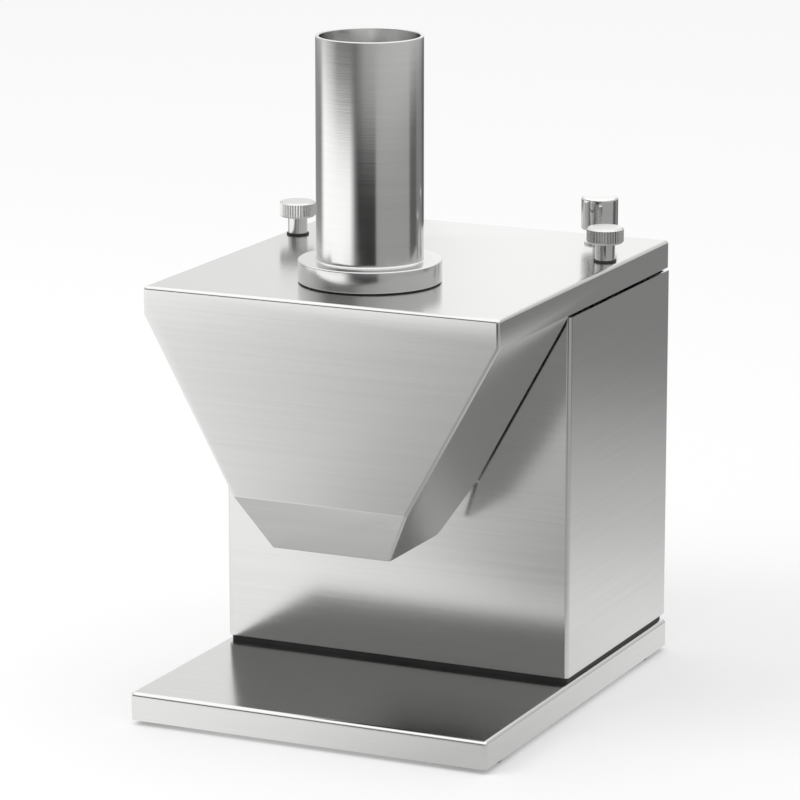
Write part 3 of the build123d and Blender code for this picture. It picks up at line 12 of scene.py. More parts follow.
import bmesh
import bpy
import numpy as np
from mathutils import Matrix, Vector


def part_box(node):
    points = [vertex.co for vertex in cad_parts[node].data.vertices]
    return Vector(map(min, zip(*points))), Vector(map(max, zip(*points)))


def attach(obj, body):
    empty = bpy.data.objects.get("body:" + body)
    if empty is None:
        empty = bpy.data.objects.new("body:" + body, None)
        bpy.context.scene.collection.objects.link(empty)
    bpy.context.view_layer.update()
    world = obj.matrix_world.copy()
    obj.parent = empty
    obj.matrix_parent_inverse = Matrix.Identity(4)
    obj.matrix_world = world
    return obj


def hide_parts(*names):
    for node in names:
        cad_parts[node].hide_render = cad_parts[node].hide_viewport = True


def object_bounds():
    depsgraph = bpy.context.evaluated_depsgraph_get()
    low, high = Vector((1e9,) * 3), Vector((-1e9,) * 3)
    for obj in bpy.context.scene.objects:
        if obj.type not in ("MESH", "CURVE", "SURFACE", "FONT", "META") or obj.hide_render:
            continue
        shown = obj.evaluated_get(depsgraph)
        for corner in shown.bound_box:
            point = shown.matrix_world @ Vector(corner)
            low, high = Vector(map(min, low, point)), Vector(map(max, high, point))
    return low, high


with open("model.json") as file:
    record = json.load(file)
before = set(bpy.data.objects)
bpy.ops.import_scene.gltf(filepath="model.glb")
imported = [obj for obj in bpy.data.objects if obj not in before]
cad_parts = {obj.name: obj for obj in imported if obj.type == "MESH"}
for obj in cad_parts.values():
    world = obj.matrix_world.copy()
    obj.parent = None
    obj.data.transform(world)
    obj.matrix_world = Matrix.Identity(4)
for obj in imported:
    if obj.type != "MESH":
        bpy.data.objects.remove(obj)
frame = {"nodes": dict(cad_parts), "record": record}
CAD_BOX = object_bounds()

LOG = logging.getLogger("sausage_slicer")
MM = 0.001
Number = Union["Signal", float, int]
Colour = tuple[float, float, float]
Ramp = tuple[tuple[float, float], ...]


class Grain(Enum):
    """Which way the lines of a brushed or turned surface run."""

    SHEET = "level on upright faces, across the machine on flat ones"
    ALONG_TUBE = "up and down"
    AROUND = "round an upright axis"


class Signal:
    """Number on a socket: arithmetic on it adds Math nodes."""

    def __init__(self, graph: "Graph", socket: bpy.types.NodeSocket) -> None:
        """Wrap an output socket.

        Args:
            graph: The graph that new nodes are added to.
            socket: The output socket that carries the number.
        """
        self.graph = graph
        self.socket = socket

    def math(self, operation: str, first: Number, second: Number = 0.0) -> "Signal":
        """Add one Math node.

        Args:
            operation: The Math node's operation.
            first: Its first value.
            second: Its second value.

        Returns:
            The result.
        """
        node = self.graph.node("ShaderNodeMath", {"operation": operation}, {0: first, 1: second})
        return Signal(self.graph, node.outputs[0])

    def __add__(self, other: Number) -> "Signal":
        """Sum."""
        return self.math("ADD", self, other)

    def __radd__(self, other: Number) -> "Signal":
        """Sum with a number on the left."""
        return self.math("ADD", other, self)

    def __sub__(self, other: Number) -> "Signal":
        """Difference."""
        return self.math("SUBTRACT", self, other)

    def __rsub__(self, other: Number) -> "Signal":
        """Difference with a number on the left."""
        return self.math("SUBTRACT", other, self)

    def __mul__(self, other: Number) -> "Signal":
        """Product."""
        return self.math("MULTIPLY", self, other)

    def __rmul__(self, other: Number) -> "Signal":
        """Product with a number on the left."""
        return self.math("MULTIPLY", other, self)

    def __truediv__(self, other: Number) -> "Signal":
        """Quotient."""
        return self.math("DIVIDE", self, other)

    def __abs__(self) -> "Signal":
        """Size without its sign."""
        return self.math("ABSOLUTE", self)

    def above(self, low: float, high: float) -> "Signal":
        """Smooth step from 0 below low to 1 above high.

        Args:
            low: Where the step starts.
            high: Where it ends.

        Returns:
            The step.
        """
        node = self.graph.node("ShaderNodeMapRange", {"interpolation_type": "SMOOTHSTEP"},
                               {"Value": self, "From Min": low, "From Max": high})
        return Signal(self.graph, node.outputs["Result"])


class Graph:
    """Node tree of one material or of the world, with one method that adds a node."""

    def __init__(self, tree: bpy.types.NodeTree) -> None:
        """Start from an empty tree.

        Args:
            tree: The node tree, which is cleared.
        """
        self.tree = tree
        tree.nodes.clear()

    def node(self, kind: str, settings: Optional[dict] = None, inputs: Optional[dict] = None) -> bpy.types.Node:
        """Add a node: its settings are set first, then the values or links of its sockets.

        Args:
            kind: The node's type name.
            settings: Attributes of the node, such as a Math node's operation.
            inputs: Socket name or number to a value, a Signal or an output socket.

        Returns:
            The node.
        """
        made = self.tree.nodes.new(kind)
        for key, value in (settings or {}).items():
            setattr(made, key, value)
        for key, value in (inputs or {}).items():
            if isinstance(value, Signal):
                self.tree.links.new(value.socket, made.inputs[key])
            elif isinstance(value, bpy.types.NodeSocket):
                self.tree.links.new(value, made.inputs[key])
            else:
                made.inputs[key].default_value = value
        return made

    def place(self) -> bpy.types.NodeSocket:
        """Position on the piece, in its own coordinates."""
        return self.node("ShaderNodeTexCoord").outputs["Object"]

    def parts(self, vector: bpy.types.NodeSocket) -> tuple[Signal, Signal, Signal]:
        """Split a vector.

        Args:
            vector: The vector's socket.

        Returns:
            Its x, y and z.
        """
        node = self.node("ShaderNodeSeparateXYZ", {}, {0: vector})
        return Signal(self, node.outputs[0]), Signal(self, node.outputs[1]), Signal(self, node.outputs[2])

    def joined(self, x: Number, y: Number, z: Number) -> bpy.types.NodeSocket:
        """Vector from three numbers.

        Args:
            x: First part.
            y: Second part.
            z: Third part.

        Returns:
            The vector's socket.
        """
        return self.node("ShaderNodeCombineXYZ", {}, {0: x, 1: y, 2: z}).outputs[0]

    def noise(self, x: Number, y: Number, z: Number, detail: float = 2.0) -> Signal:
        """Smooth noise from 0 to 1.

        Args:
            x: First coordinate, one unit to a cell.
            y: Second coordinate.
            z: Third coordinate.
            detail: How many finer layers are added.

        Returns:
            The noise.
        """
        node = self.node("ShaderNodeTexNoise", {}, {"Vector": self.joined(x, y, z), "Scale": 1.0, "Detail": detail})
        return Signal(self, node.outputs[0])

    def mixed(self, share: Number, first: Number, second: Number) -> Signal:
        """Number between two others.

        Args:
            share: 0 for the first, 1 for the second.
            first: Value at share 0.
            second: Value at share 1.

        Returns:
            The mix.
        """
        node = self.node("ShaderNodeMix", {"data_type": "FLOAT"}, {0: share, 2: first, 3: second})
        return Signal(self, node.outputs[0])

    def ramp(self, share: Signal, stops: Ramp) -> Signal:
        """Level that follows a turn through a ramp, which holds values up to 2.

        Args:
            share: Turn from -180 degrees at 0 to 180 degrees at 1.
            stops: Degrees and level, in order.

        Returns:
            The level.
        """
        node = self.node("ShaderNodeValToRGB", {}, {0: share})
        elements = node.color_ramp.elements
        for index, (degrees, level) in enumerate(stops):
            element = elements[index] if index < 2 else elements.new(1.0)
            element.position = (degrees + 180) / 360
            element.color = (level / 2, level / 2, level / 2, 1.0)
        return 2.0 * Signal(self, node.outputs[0])

    def tinted(self, share: Number, first: Colour, second: Colour) -> bpy.types.NodeSocket:
        """Colour between two others.

        Args:
            share: 0 for the first, 1 for the second.
            first: Colour at share 0.
            second: Colour at share 1.

        Returns:
            The colour's socket.
        """
        node = self.node("ShaderNodeMix", {"data_type": "RGBA"}, {0: share, 6: (*first, 1.0), 7: (*second, 1.0)})
        return node.outputs[2]


def new_material(name: str) -> tuple[bpy.types.Material, Graph]:
    """Make an empty node material.

    Args:
        name: The material's name.

    Returns:
        The material and its graph.
    """
    material = bpy.data.materials.new(name)
    material.use_nodes = True
    return material, Graph(material.node_tree)


def shaded(colour: Colour, share: float) -> Colour:
    """Colour multiplied by a share, kept below 1."""
    return tuple(min(1.0, part * share) for part in colour)


@dataclass(frozen=True)
class Steel:
    """Bare metal with a grain of fine lines, streaks of older polish, a few broad handling marks and painted shade
    on faces that look down.
    """

    name: str
    colour: Colour = (0.70, 0.70, 0.69)
    roughness: float = 0.17
    grain: Grain = Grain.SHEET
    lines: float = 3000.0
    run: float = 14.0
    depth: float = 0.00001
    streak: float = 0.03
    marks: float = 0.02
    # Share of the colour kept on faces that look down: painted shade.
    painted_shade_share: float = 0.62
    centre: tuple[float, float] = (0.0, 0.0)

    def material(self) -> bpy.types.Material:
        """Metal whose height, roughness and colour follow stretched noise.

        The noise has lines per metre across the grain and run cells per metre along it, so each cell is
        a long thin scratch. A second noise a tenth as fine gives the streaks. Faces that look down are
        darkened to a share of their colour, which is painted shade for the shade below them, not a finish.

        Returns:
            The material.
        """
        made, graph = new_material(self.name)
        x, y, z = graph.parts(graph.place())
        fine = self.lines_of(graph, x, y, z, self.lines, self.run)
        broad = self.lines_of(graph, x, y, z, self.lines / 9, self.run / 3)
        cloud = graph.noise(9 * x, 9 * y, 9 * z, 3.0)
        rough = self.roughness + self.streak * (broad - 0.5) + self.marks * (cloud - 0.5)
        tone = 0.5 * fine + 0.5 * broad
        # Painted shade: faces that look down take a darker copy of the colour, standing in for the shade below
        # them.
        below = graph.parts(graph.node("ShaderNodeTexCoord").outputs["Normal"])[2].above(-0.4, -0.25)
        bright = graph.tinted(tone.above(0.2, 0.8), shaded(self.colour, 0.97), shaded(self.colour, 1.03))
        dull = graph.tinted(tone.above(0.2, 0.8), shaded(self.colour, self.painted_shade_share - 0.02),
                            shaded(self.colour, self.painted_shade_share + 0.02))
        colour = graph.node("ShaderNodeMix", {"data_type": "RGBA"}, {0: below, 6: dull, 7: bright}).outputs[2]
        bump = graph.node("ShaderNodeBump", {}, {"Strength": 0.8, "Distance": self.depth, "Height": fine})
        shader = graph.node("ShaderNodeBsdfPrincipled", {}, {
            "Base Color": colour, "Metallic": 1.0, "Roughness": rough, "Normal": bump.outputs[0]})
        graph.node("ShaderNodeOutputMaterial", {}, {0: shader.outputs[0]})
        return made

    def lines_of(self, graph: Graph, x: Signal, y: Signal, z: Signal, across: float, along: float) -> Signal:
        """Noise stretched along the grain.

        Args:
            graph: The material's graph.
            x: Place across the machine.
            y: Place along its depth.
            z: Height.
            across: Cells per metre across the grain.
            along: Cells per metre along it.

        Returns:
            The stretched noise.
        """
        if self.grain is Grain.ALONG_TUBE:
            return graph.noise(across * x, across * y, along * z)
        if self.grain is Grain.AROUND:
            from_axis = (x - self.centre[0]) * (x - self.centre[0]) + (y - self.centre[1]) * (y - self.centre[1])
            distance = from_axis.math("SQRT", from_axis)
            return graph.noise(across * distance, along * x, across * z)
        upright = graph.noise(along * x, along * y, across * z)
        level = graph.noise(along * x, across * y, along * z)
        normal = graph.node("ShaderNodeTexCoord").outputs["Normal"]
        flat = abs(graph.parts(normal)[2]).above(0.6, 0.8)
        return graph.mixed(flat, upright, level)


@dataclass(frozen=True)
class Moulded:
    """Rubber or plastic: fine skin texture and a cloudy colour between its own and a worn one."""

    name: str
    colour: Colour
    worn: Colour
    roughness: float = 0.6
    cell: float = 1800.0
    depth: float = 0.00004

    def material(self) -> bpy.types.Material:
        """Dielectric with a fine even bump and a cloudy colour.

        Returns:
            The material.
        """
        made, graph = new_material(self.name)
        x, y, z = graph.parts(graph.place())
        skin = graph.noise(self.cell * x, self.cell * y, self.cell * z, 1.0)
        cloud = graph.noise(40 * x, 40 * y, 40 * z, 3.0)
        bump = graph.node("ShaderNodeBump", {}, {"Strength": 0.6, "Distance": self.depth, "Height": skin})
        shader = graph.node("ShaderNodeBsdfPrincipled", {}, {
            "Base Color": graph.tinted(cloud.above(0.35, 0.75), self.colour, self.worn),
            "Roughness": self.roughness + 0.15 * (cloud - 0.5), "Normal": bump.outputs[0]})
        graph.node("ShaderNodeOutputMaterial", {}, {0: shader.outputs[0]})
        return made


@dataclass(frozen=True)
class Cast:
    """Cast or sintered metal: grainy skin with a dull sheen."""

    name: str
    colour: Colour
    dark: Colour
    roughness: float = 0.5
    cell: float = 900.0
    depth: float = 0.00012

    def material(self) -> bpy.types.Material:
        """Metal with a grainy bump and a mottled colour.

        Returns:
            The material.
        """
        made, graph = new_material(self.name)
        x, y, z = graph.parts(graph.place())
        skin = graph.noise(self.cell * x, self.cell * y, self.cell * z, 3.0)
        cloud = graph.noise(60 * x, 60 * y, 60 * z, 4.0)
        bump = graph.node("ShaderNodeBump", {}, {"Strength": 0.7, "Distance": self.depth, "Height": skin})
        shader = graph.node("ShaderNodeBsdfPrincipled", {}, {
            "Base Color": graph.tinted(cloud.above(0.3, 0.7), self.dark, self.colour), "Metallic": 0.9,
            "Roughness": self.roughness + 0.2 * (cloud - 0.5), "Normal": bump.outputs[0]})
        graph.node("ShaderNodeOutputMaterial", {}, {0: shader.outputs[0]})
        return made


class Finishes:
    """One material for each material slot of the record, and a few turned ones for single pieces."""

    def __init__(self) -> None:
        """Make every finish once."""
        self.by_slot = {
            "stainless_sheet": Steel("satin_sheet").material(),
            "stainless_tube": Steel("satin_tube", roughness=0.14, lines=2600.0, run=30.0, depth=0.00001).material(),
            "stainless_turned": Steel("turned_steel", roughness=0.18, lines=3000.0, depth=0.000006).material(),
            "polished_steel": Steel("mirror_steel", colour=(0.76, 0.76, 0.75), roughness=0.05, depth=0.0000015,
                                    streak=0.02, marks=0.03).material(),
            "blade_steel": Steel("blade_steel", roughness=0.16, lines=1800.0).material(),
            "steel_fasteners": Steel("bright_fasteners", colour=(0.62, 0.63, 0.65), roughness=0.3).material(),
            "gear_steel": Steel("oiled_gear_steel", colour=(0.36, 0.35, 0.34), roughness=0.34).material(),
            "bearing_steel": Steel("ground_steel", roughness=0.14, depth=0.000003).material(),
            "bronze": Cast("bronze", (0.55, 0.36, 0.17), (0.38, 0.23, 0.10), 0.4).material(),
            "cast_aluminium": Cast("cast_aluminium", (0.62, 0.62, 0.62), (0.48, 0.48, 0.48)).material(),
            "stator_steel": Cast("lamination_steel", (0.20, 0.20, 0.21), (0.12, 0.12, 0.13), 0.45).material(),
            "rubber": Moulded("foot_rubber", (0.012, 0.012, 0.012), (0.035, 0.034, 0.033), 0.7).material(),
            "seal_rubber": Moulded("seal_rubber", (0.008, 0.008, 0.008), (0.02, 0.02, 0.02), 0.55).material(),
            "black_plastic": Moulded("black_plastic", (0.015, 0.015, 0.015), (0.03, 0.03, 0.03), 0.45).material(),
            "grey_plastic": Moulded("grey_plastic", (0.38, 0.38, 0.37), (0.45, 0.45, 0.44), 0.5).material(),
        }
        self.slot_of = {row["node"]: row["material_slot"] for row in frame["record"]["subparts"]}

    def of_node(self, node: str) -> bpy.types.Material:
        """Material of a node's slot."""
        return self.by_slot[self.slot_of[node]]


@dataclass
class Assembly:
    """Pieces that belong together, with the ways in which they are made."""

    finishes: Finishes

    def add(self, name: str, mesh: bpy.types.Mesh, body: str, node: str,
            replaces: Sequence[str] = (), sharp: float = 32.0) -> bpy.types.Object:
        """Put a finished mesh in the scene as a piece.

        Args:
            name: The piece's name.
            mesh: Its mesh, in the frame's coordinates.
            body: The body that it rides on.
            node: The node whose slot gives its finish.
            replaces: Nodes that it stands for.
            sharp: Edges that turn by more than this many degrees stay sharp.

        Returns:
            The piece.
        """
        mesh.shade_smooth()
        mesh.set_sharp_from_angle(angle=radians(sharp))
        mesh.materials.clear()
        mesh.materials.append(self.finishes.of_node(node))
        piece = bpy.data.objects.new(name, mesh)
        bpy.context.scene.collection.objects.link(piece)
        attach(piece, body)
        if replaces:
            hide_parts(*replaces)
        LOG.info("piece %s: %d faces on %s", name, len(mesh.polygons), body)
        return piece

    def smooth_copy(self, node: str, body: str, sharp: float = 24.0) -> bpy.types.Object:
        """Copy of a node with its loose triangles joined, so that bends and cylinders shade as curves.

        Args:
            node: The node to copy and stand for.
            body: The body that it rides on.
            sharp: Edges that turn by more than this many degrees stay sharp.

        Returns:
            The piece.
        """
        mesh = frame["nodes"][node].data.copy()
        mesh.name = f"{node}_finished"
        work = bmesh.new()
        work.from_mesh(mesh)
        bmesh.ops.remove_doubles(work, verts=work.verts, dist=1e-6)
        bmesh.ops.dissolve_limit(work, angle_limit=radians(0.2), verts=work.verts, edges=work.edges)
        work.to_mesh(mesh)
        work.free()
        return self.add(f"{node}_finished", mesh, body, node, (node,), sharp)


def turned_mesh(name: str, profile: np.ndarray, centre: tuple[float, float], steps: int = 160,
                waves: int = 0, wave_depth: float = 0.0, wave_rows: Optional[np.ndarray] = None) -> bpy.types.Mesh:
    """Surface of revolution on a grid of angle and profile point.

    A point is (r cos a, r sin a, z) about the centre, where (r, z) runs along the profile and a goes once
    round. Where waves is set, r loses wave_depth times the sine of waves a / 2 without its sign, weighted by
    row, which cuts upright V grooves. A profile that ends on the axis is closed there by one point.

    Args:
        name: The mesh's name.
        profile: Points (r, z) in metres, from one end to the other, the metal on the left-hand side.
        centre: Axis of the piece.
        steps: Points round the axis.
        waves: Grooves round the piece.
        wave_depth: Depth of a groove.
        wave_rows: Weight of the grooves on each profile point.

    Returns:
        The mesh, faces outwards.
    """
    angle = np.linspace(0.0, 2 * pi, steps, endpoint=False)
    radius = np.repeat(profile[:, :1], steps, axis=1)
    if waves:
        radius = radius - wave_depth * np.outer(wave_rows, np.abs(np.sin(waves * angle / 2)))
    rows = len(profile)
    grid = np.stack([centre[0] + radius * np.cos(angle), centre[1] + radius * np.sin(angle),
                     np.repeat(profile[:, 1:], steps, axis=1)], axis=2)
    row, column = np.meshgrid(np.arange(rows - 1), np.arange(steps), indexing="ij")
    beside = (column + 1) % steps
    faces = np.stack([row * steps + column, row * steps + beside, (row + 1) * steps + beside,
                      (row + 1) * steps + column], axis=2).reshape(-1, 4)
    mesh = bpy.data.meshes.new(name)
    mesh.from_pydata(grid.reshape(-1, 3).tolist(), [], faces.tolist())
    work = bmesh.new()
    work.from_mesh(mesh)
    bmesh.ops.remove_doubles(work, verts=work.verts, dist=1e-7)
    bmesh.ops.recalc_face_normals(work, faces=work.faces)
    work.to_mesh(mesh)
    work.free()
    return mesh


def rounded(points: Sequence[tuple[float, float]], radii: Sequence[float], steps: int = 5) -> np.ndarray:
    """Profile through corner points, each corner replaced by a smooth curve.

    Each corner is a quadratic curve from one point before it to one point after it, both its radius away,
    with the corner as the middle control point.

    Args:
        points: Corners (r, z) in millimetres.
        radii: Radius at each corner, 0 for a sharp one.
        steps: Points on each curve.

    Returns:
        The profile in metres.
    """
    corners = np.array(points, float)
    out = [corners[0]]
    for before, corner, after, size in zip(corners[:-2], corners[1:-1], corners[2:], radii[1:-1]):
        if size <= 0:
            out.append(corner)
            continue
        start = corner + (before - corner) / np.linalg.norm(before - corner) * size
        end = corner + (after - corner) / np.linalg.norm(after - corner) * size
        share = np.linspace(0.0, 1.0, steps)[:, None]
        out.extend((1 - share) ** 2 * start + 2 * share * (1 - share) * corner + share ** 2 * end)
    out.append(corners[-1])
    return np.array(out) * MM


def cylinder_box(node: str) -> tuple[tuple[float, float], float, float, float]:
    """Axis, radius and heights of an upright round node.

    Args:
        node: The node's name.

    Returns:
        Centre in metres, then radius, lowest and highest height in millimetres.
    """
    low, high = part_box(node)
    centre = ((low.x + high.x) / 2, (low.y + high.y) / 2)
    return centre, (high.x - low.x) / 2 / MM, low.z / MM, high.z / MM


@dataclass
class SheetWork(Assembly):
    """Folded sheet: base, housing, rear cover, deck and the lid with its hood."""

    nodes: tuple[tuple[str, str], ...] = (
        ("base_tray", "machine_body"), ("motor_housing", "machine_body"), ("rear_cover", "machine_body"),
        ("top_deck", "machine_body"), ("lid_hood", "lid"), ("slice_stop", "lid"))

    def build(self) -> None:
        """Make smooth copies of the folded sheets."""
        for node, body in self.nodes:
            self.smooth_copy(node, body)


@dataclass
class FeedTube(Assembly):
    """Feed tube with its rim, the collar that holds it and the bead where they meet."""

    wall: float = 2.0
    rim: float = 0.7
    collar_edge: float = 0.8
    bead: float = 1.3
    bead_height: float = 1.0

    def build(self) -> None:
        """Make the tube, the collar and the bead."""
        centre, radius, low, high = cylinder_box("feed_tube")
        inner = radius - self.wall
        tube = rounded([(inner, low), (inner, high), (radius, high), (radius, low), (inner, low)],
                       [0, self.rim, self.rim, 0, 0])
        self.add("feed_tube_drawn", turned_mesh("feed_tube_drawn", tube, centre, 192), "lid", "feed_tube",
                 ("feed_tube",))
        _, outer, foot, top = cylinder_box("tube_collar")
        collar = rounded([(radius, foot), (outer, foot), (outer, top), (radius, top), (radius, foot)],
                         [0, self.collar_edge / 2, self.collar_edge, 0, 0])
        self.add("tube_collar_turned", turned_mesh("tube_collar_turned", collar, centre, 192), "lid",
                 "tube_collar", ("tube_collar",))
        share = np.linspace(0.0, 1.0, 7)
        sweep = share * pi / 2
        hollow = np.stack([radius + self.bead * (1 - np.sin(sweep)), top + self.bead_height * (1 - np.cos(sweep))],
                          axis=1) * MM
        self.add("tube_foot_bead", turned_mesh("tube_foot_bead", hollow, centre, 192), "lid", "tube_collar")


@dataclass
class ThumbScrew(Assembly):
    """Thumb screw with a straight knurl on its head."""

    side: str = "left"
    teeth: int = 44
    knurl: float = 0.42
    edge: float = 1.0
    neck: float = 5.75
    head: float = 9.0
    shank: float = 4.0
    ring_height: float = 1.0

    def build(self) -> None:
        """Make the screw: shank, neck and knurled head in one turned piece."""
        node = f"thumb_screw_{self.side}"
        centre, radius, low, high = cylinder_box(node)
        lid_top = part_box("lid_hood")[1].z / MM
        head_low = high - self.head
        neck_low = lid_top + self.ring_height
        knurl_low = np.linspace(head_low + self.edge, high - self.edge, 6)
        points = [(0.0, low), (self.shank - 0.5, low), (self.shank, low + 0.5), (self.shank, neck_low),
                  (self.neck, neck_low), (self.neck, head_low), (radius - self.edge, head_low)]
        points += [(radius, height) for height in knurl_low]
        points += [(radius - self.edge, high), (radius - self.edge - 1.2, high + 0.0), (0.0, high)]
        weights = np.array([1.0 if abs(point[0] - radius) < 1e-6 else 0.0 for point in points])
        mesh = turned_mesh(f"{node}_knurled", np.array(points) * MM, centre, self.teeth * 8, self.teeth,
                           self.knurl * MM, weights)
        self.add(f"{node}_knurled", mesh, f"thumb_{self.side}", node, (node,), 20.0)


@dataclass
class PushKnob(Assembly):
    """Tall polished knob with softened edges, and the flanged bush that guides its stem."""

    edge: float = 1.6
    stem: float = 4.0
    depth: float = 8.0

    def build(self) -> None:
        """Make the knob's head."""
        centre, radius, low, high = cylinder_box("start_knob")
        profile = rounded([(self.stem, low + self.depth), (self.stem, low), (radius, low), (radius, high),
                           (0.0, high)], [0, 0, self.edge, self.edge, 0], 8)
        self.add("start_knob_polished", turned_mesh("start_knob_polished", profile, centre, 128), "push_knob",
                 "start_knob", ("start_knob",))
        for node, body in (("knob_stem", "push_knob"), ("knob_bush", "lid")):
            self.smooth_copy(node, body)


@dataclass
class Dressing(Assembly):
    """Every node that keeps its own mesh gets the finish of its slot."""

    def build(self) -> None:
        """Set the material on each node."""
        for node, piece in frame["nodes"].items():
            piece.data.materials.clear()
            piece.data.materials.append(self.finishes.of_node(node))
        LOG.info("dressed %d nodes", len(frame["nodes"]))


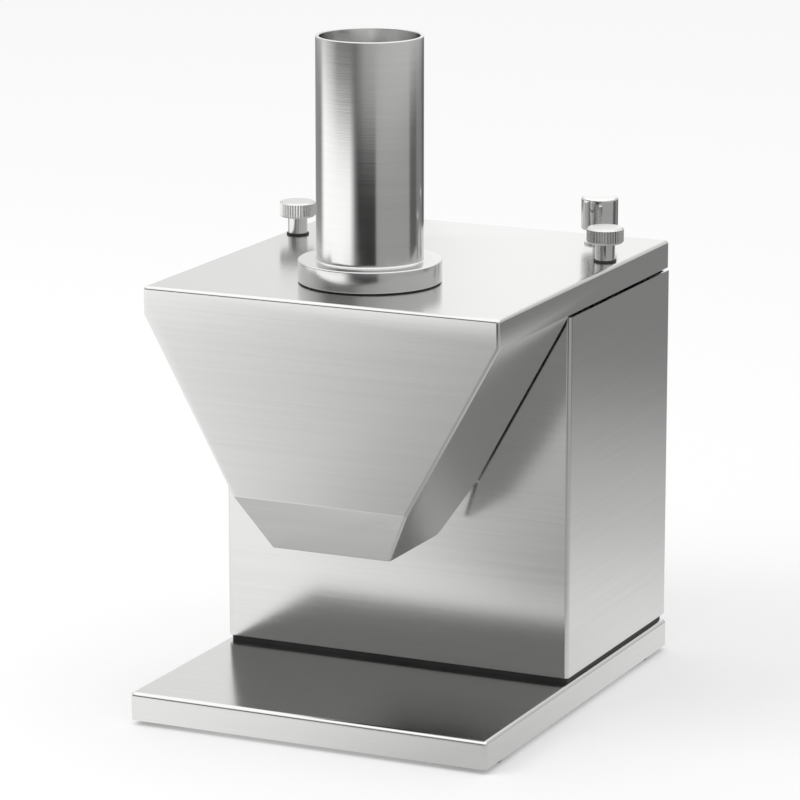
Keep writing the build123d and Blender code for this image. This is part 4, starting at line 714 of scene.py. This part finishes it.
@dataclass
class Studio:
    """Plain floor, glowing walls that only gloss shows and that paint reflections on the metal, lamps and the
    camera.
    """

    azimuth: float = 24.88
    elevation: float = 13.14
    place: tuple[float, float, float] = (0.9953, -2.1548, 0.7252)
    focal_pixels: float = 4244.0
    picture_pixels: float = 800.0
    sensor: float = 36.0
    floor_half: float = 6.0
    wall_radius: float = 3.0
    wall_height: float = 4.0
    ring_inner: float = 0.10
    ring_lift: float = 0.0006
    card_foot: float = 0.25
    near_end: float = 0.205
    near_levels: Ramp = ((-180, 0.8), (-110, 1.0), (-61, 1.1), (-31, 0.95), (2, 0.7), (30, 0.7), (119, 0.88),
                         (180, 0.8))
    near_fade: Ramp = ((-180, 0.3), (-60, 0.3), (-30, 0.06), (10, 0.06), (60, 0.3), (180, 0.3))
    middle_levels: Ramp = ((-180, 0.7), (-110, 1.1), (-60, 1.2), (-53, 0.9), (-47, 0.78), (-40, 0.58), (-25, 0.42),
                           (0, 0.42), (30, 0.5), (90, 0.62), (130, 0.66), (180, 0.7))
    far_start: Ramp = ((-180, 1.3), (-25, 1.3), (0, 0.5), (60, 0.35), (160, 0.35), (180, 1.3))
    far_fade: Ramp = ((-180, 0.3), (-25, 0.3), (0, 0.6), (60, 0.7), (160, 0.7), (180, 0.3))
    far_levels: Ramp = ((-180, 0.35), (-125, 0.3), (-111, 1.4), (-42, 1.4), (-30, 0.2), (-23, 0.03), (11, 0.03),
                        (14, 0.4), (90, 0.4), (95, 0.13), (114, 0.13), (118, 0.26), (140, 0.26), (150, 0.1),
                        (180, 0.35))
    room_levels: Ramp = ((-180, 0.95), (-150, 0.85), (-110, 0.7), (-85, 0.45), (-70, 0.2), (-30, 0.2), (-10, 0.45),
                         (30, 0.6), (130, 0.7), (160, 0.95), (178, 1.15), (180, 1.0))
    panel_heights: tuple[float, float] = (1.6, 2.2)
    panel_level: float = 1.4
    sky: float = 0.85
    key_power: float = 16.0

    def build(self) -> None:
        """Make the camera, the floor, the walls, the world and the lamps."""
        self.camera()
        self.world()
        self.floor()
        self.cards()
        self.lamp("key_lamp", (-1.3, -1.4, 1.9), 1.4, self.key_power)
        bpy.context.scene.view_settings.view_transform = "Standard"

    def camera(self) -> None:
        """Camera from the photograph's side, focal length from its pixels."""
        data = bpy.data.cameras.new("camera")
        data.sensor_width = self.sensor
        data.lens = self.focal_pixels / self.picture_pixels * self.sensor
        data.clip_end = 50.0
        camera = bpy.data.objects.new("camera", data)
        camera.location = self.place
        camera.rotation_euler = (radians(90.0 - self.elevation), 0.0, radians(self.azimuth))
        bpy.context.scene.collection.objects.link(camera)
        bpy.context.scene.camera = camera

    def seen(self, graph: Graph) -> Signal:
        """1 for camera, glossy and transmission rays, else 0."""
        path = graph.node("ShaderNodeLightPath").outputs
        camera = Signal(graph, path["Is Camera Ray"])
        glossy = Signal(graph, path["Is Glossy Ray"])
        clear = Signal(graph, path["Is Transmission Ray"])
        total = camera + glossy + clear
        return total.math("MINIMUM", total, 1.0)

    def world(self) -> None:
        """White where it is seen, a soft grey as light."""
        world = bpy.data.worlds.new("studio")
        world.use_nodes = True
        graph = Graph(world.node_tree)
        strength = graph.mixed(self.seen(graph), self.sky, 1.0)
        shader = graph.node("ShaderNodeBackground", {}, {"Color": (1.0, 1.0, 1.0, 1.0), "Strength": strength})
        graph.node("ShaderNodeOutputWorld", {}, {0: shader.outputs[0]})
        bpy.context.scene.world = world

    def floor(self) -> None:
        """Pale floor that keeps the object's shadow."""
        size = self.floor_half
        mesh = bpy.data.meshes.new("floor")
        mesh.from_pydata([(-size, -size, 0), (size, -size, 0), (size, size, 0), (-size, size, 0)], [],
                         [(0, 1, 2, 3)])
        material, graph = new_material("pale_floor")
        matt = graph.node("ShaderNodeBsdfDiffuse", {}, {"Color": (0.82, 0.82, 0.82, 1.0)})
        glow = graph.node("ShaderNodeEmission", {}, {"Strength": 0.22 * self.seen(graph)})
        both = graph.node("ShaderNodeAddShader", {}, {0: matt.outputs[0], 1: glow.outputs[0]})
        graph.node("ShaderNodeOutputMaterial", {}, {0: both.outputs[0]})
        mesh.materials.append(material)
        floor = bpy.data.objects.new("floor", mesh)
        bpy.context.scene.collection.objects.link(floor)

    def cards(self) -> None:
        """Glowing cards that only gloss shows, which paint reflections on the metal and light nothing:
        a round wall, a ring on the floor and a panel overhead.

        A point of the wall is (R cos a, R sin a, h) and one of the floor ring (r cos a, r sin a, 0). Both are
        one grid of angle and profile point. The brightness follows the turn from the camera's side.
        """
        steps = 96
        angle = np.linspace(0.0, 2 * pi, steps, endpoint=False)
        profile = np.array([(self.ring_inner, self.ring_lift), (self.wall_radius, self.ring_lift),
                            (self.wall_radius, self.wall_height), (self.ring_inner, self.wall_height)])
        grid = np.stack([np.outer(profile[:, 0], np.cos(angle)), np.outer(profile[:, 0], np.sin(angle)),
                         np.repeat(profile[:, 1:], steps, axis=1)], axis=2)
        row, column = np.meshgrid(np.arange(len(profile) - 1), np.arange(steps), indexing="ij")
        beside = (column + 1) % steps
        faces = np.stack([row * steps + column, row * steps + beside, (row + 1) * steps + beside,
                          (row + 1) * steps + column], axis=2).reshape(-1, 4)
        mesh = bpy.data.meshes.new("painted_reflection_cards")
        mesh.from_pydata(grid.reshape(-1, 3).tolist(), [], faces.tolist())
        material, graph = new_material("painted_reflection_cards")
        x, y, z = graph.parts(graph.place())
        towards = atan2(self.place[1], self.place[0])
        turn = (x.math("ARCTAN2", y, x) - towards) * (0.5 / pi) + 0.5
        share = turn.math("FRACT", turn)
        squares = x * x + y * y
        distance = squares.math("SQRT", squares)
        # Painted reflection: glow of the ring on the floor, set by distance and by the turn from the camera's side.
        near_share = (distance - self.near_end) / graph.ramp(share, self.near_fade)
        painted_floor_reflection = graph.mixed(near_share.above(0.0, 1.0), graph.ramp(share, self.near_levels),
                            graph.ramp(share, self.middle_levels))
        far_share = (distance - graph.ramp(share, self.far_start)) / graph.ramp(share, self.far_fade)
        painted_floor_reflection = graph.mixed(far_share.above(0.0, 1.0), painted_floor_reflection, graph.ramp(share, self.far_levels))
        # Painted reflection: glow of the wall and of the overhead panel.
        painted_wall_reflection = graph.mixed(z.above(*self.panel_heights), graph.ramp(share, self.room_levels), self.panel_level)
        level = graph.mixed(z.above(0.0, self.card_foot), painted_floor_reflection, painted_wall_reflection)
        glow = graph.node("ShaderNodeEmission", {}, {"Strength": level})
        graph.node("ShaderNodeOutputMaterial", {}, {0: glow.outputs[0]})
        mesh.materials.append(material)
        cards = bpy.data.objects.new("painted_reflection_cards", mesh)
        for kind in ("camera", "diffuse", "transmission", "volume_scatter", "shadow"):
            setattr(cards, f"visible_{kind}", False)
        bpy.context.scene.collection.objects.link(cards)

    def lamp(self, name: str, place: tuple[float, float, float], size: float, power: float) -> None:
        """Soft square lamp aimed at the middle of the object.

        Args:
            name: The lamp's name.
            place: Where it hangs.
            size: Length of its side.
            power: Its power in watts.
        """
        data = bpy.data.lights.new(name, "AREA")
        data.size = size
        data.energy = power
        lamp = bpy.data.objects.new(name, data)
        low, high = CAD_BOX
        middle = (low + high) / 2
        lamp.location = place
        lamp.rotation_euler = (middle - lamp.location).to_track_quat("-Z", "Y").to_euler()
        lamp.visible_glossy = False
        bpy.context.scene.collection.objects.link(lamp)


def main() -> None:
    """Build every sub-assembly in order, then the studio."""
    logging.basicConfig(level=logging.INFO)
    finishes = Finishes()
    Dressing(finishes).build()
    SheetWork(finishes).build()
    FeedTube(finishes).build()
    for side in ("left", "right"):
        ThumbScrew(finishes, side).build()
    PushKnob(finishes).build()
    Studio().build()


if __name__ == "__main__":
    main()
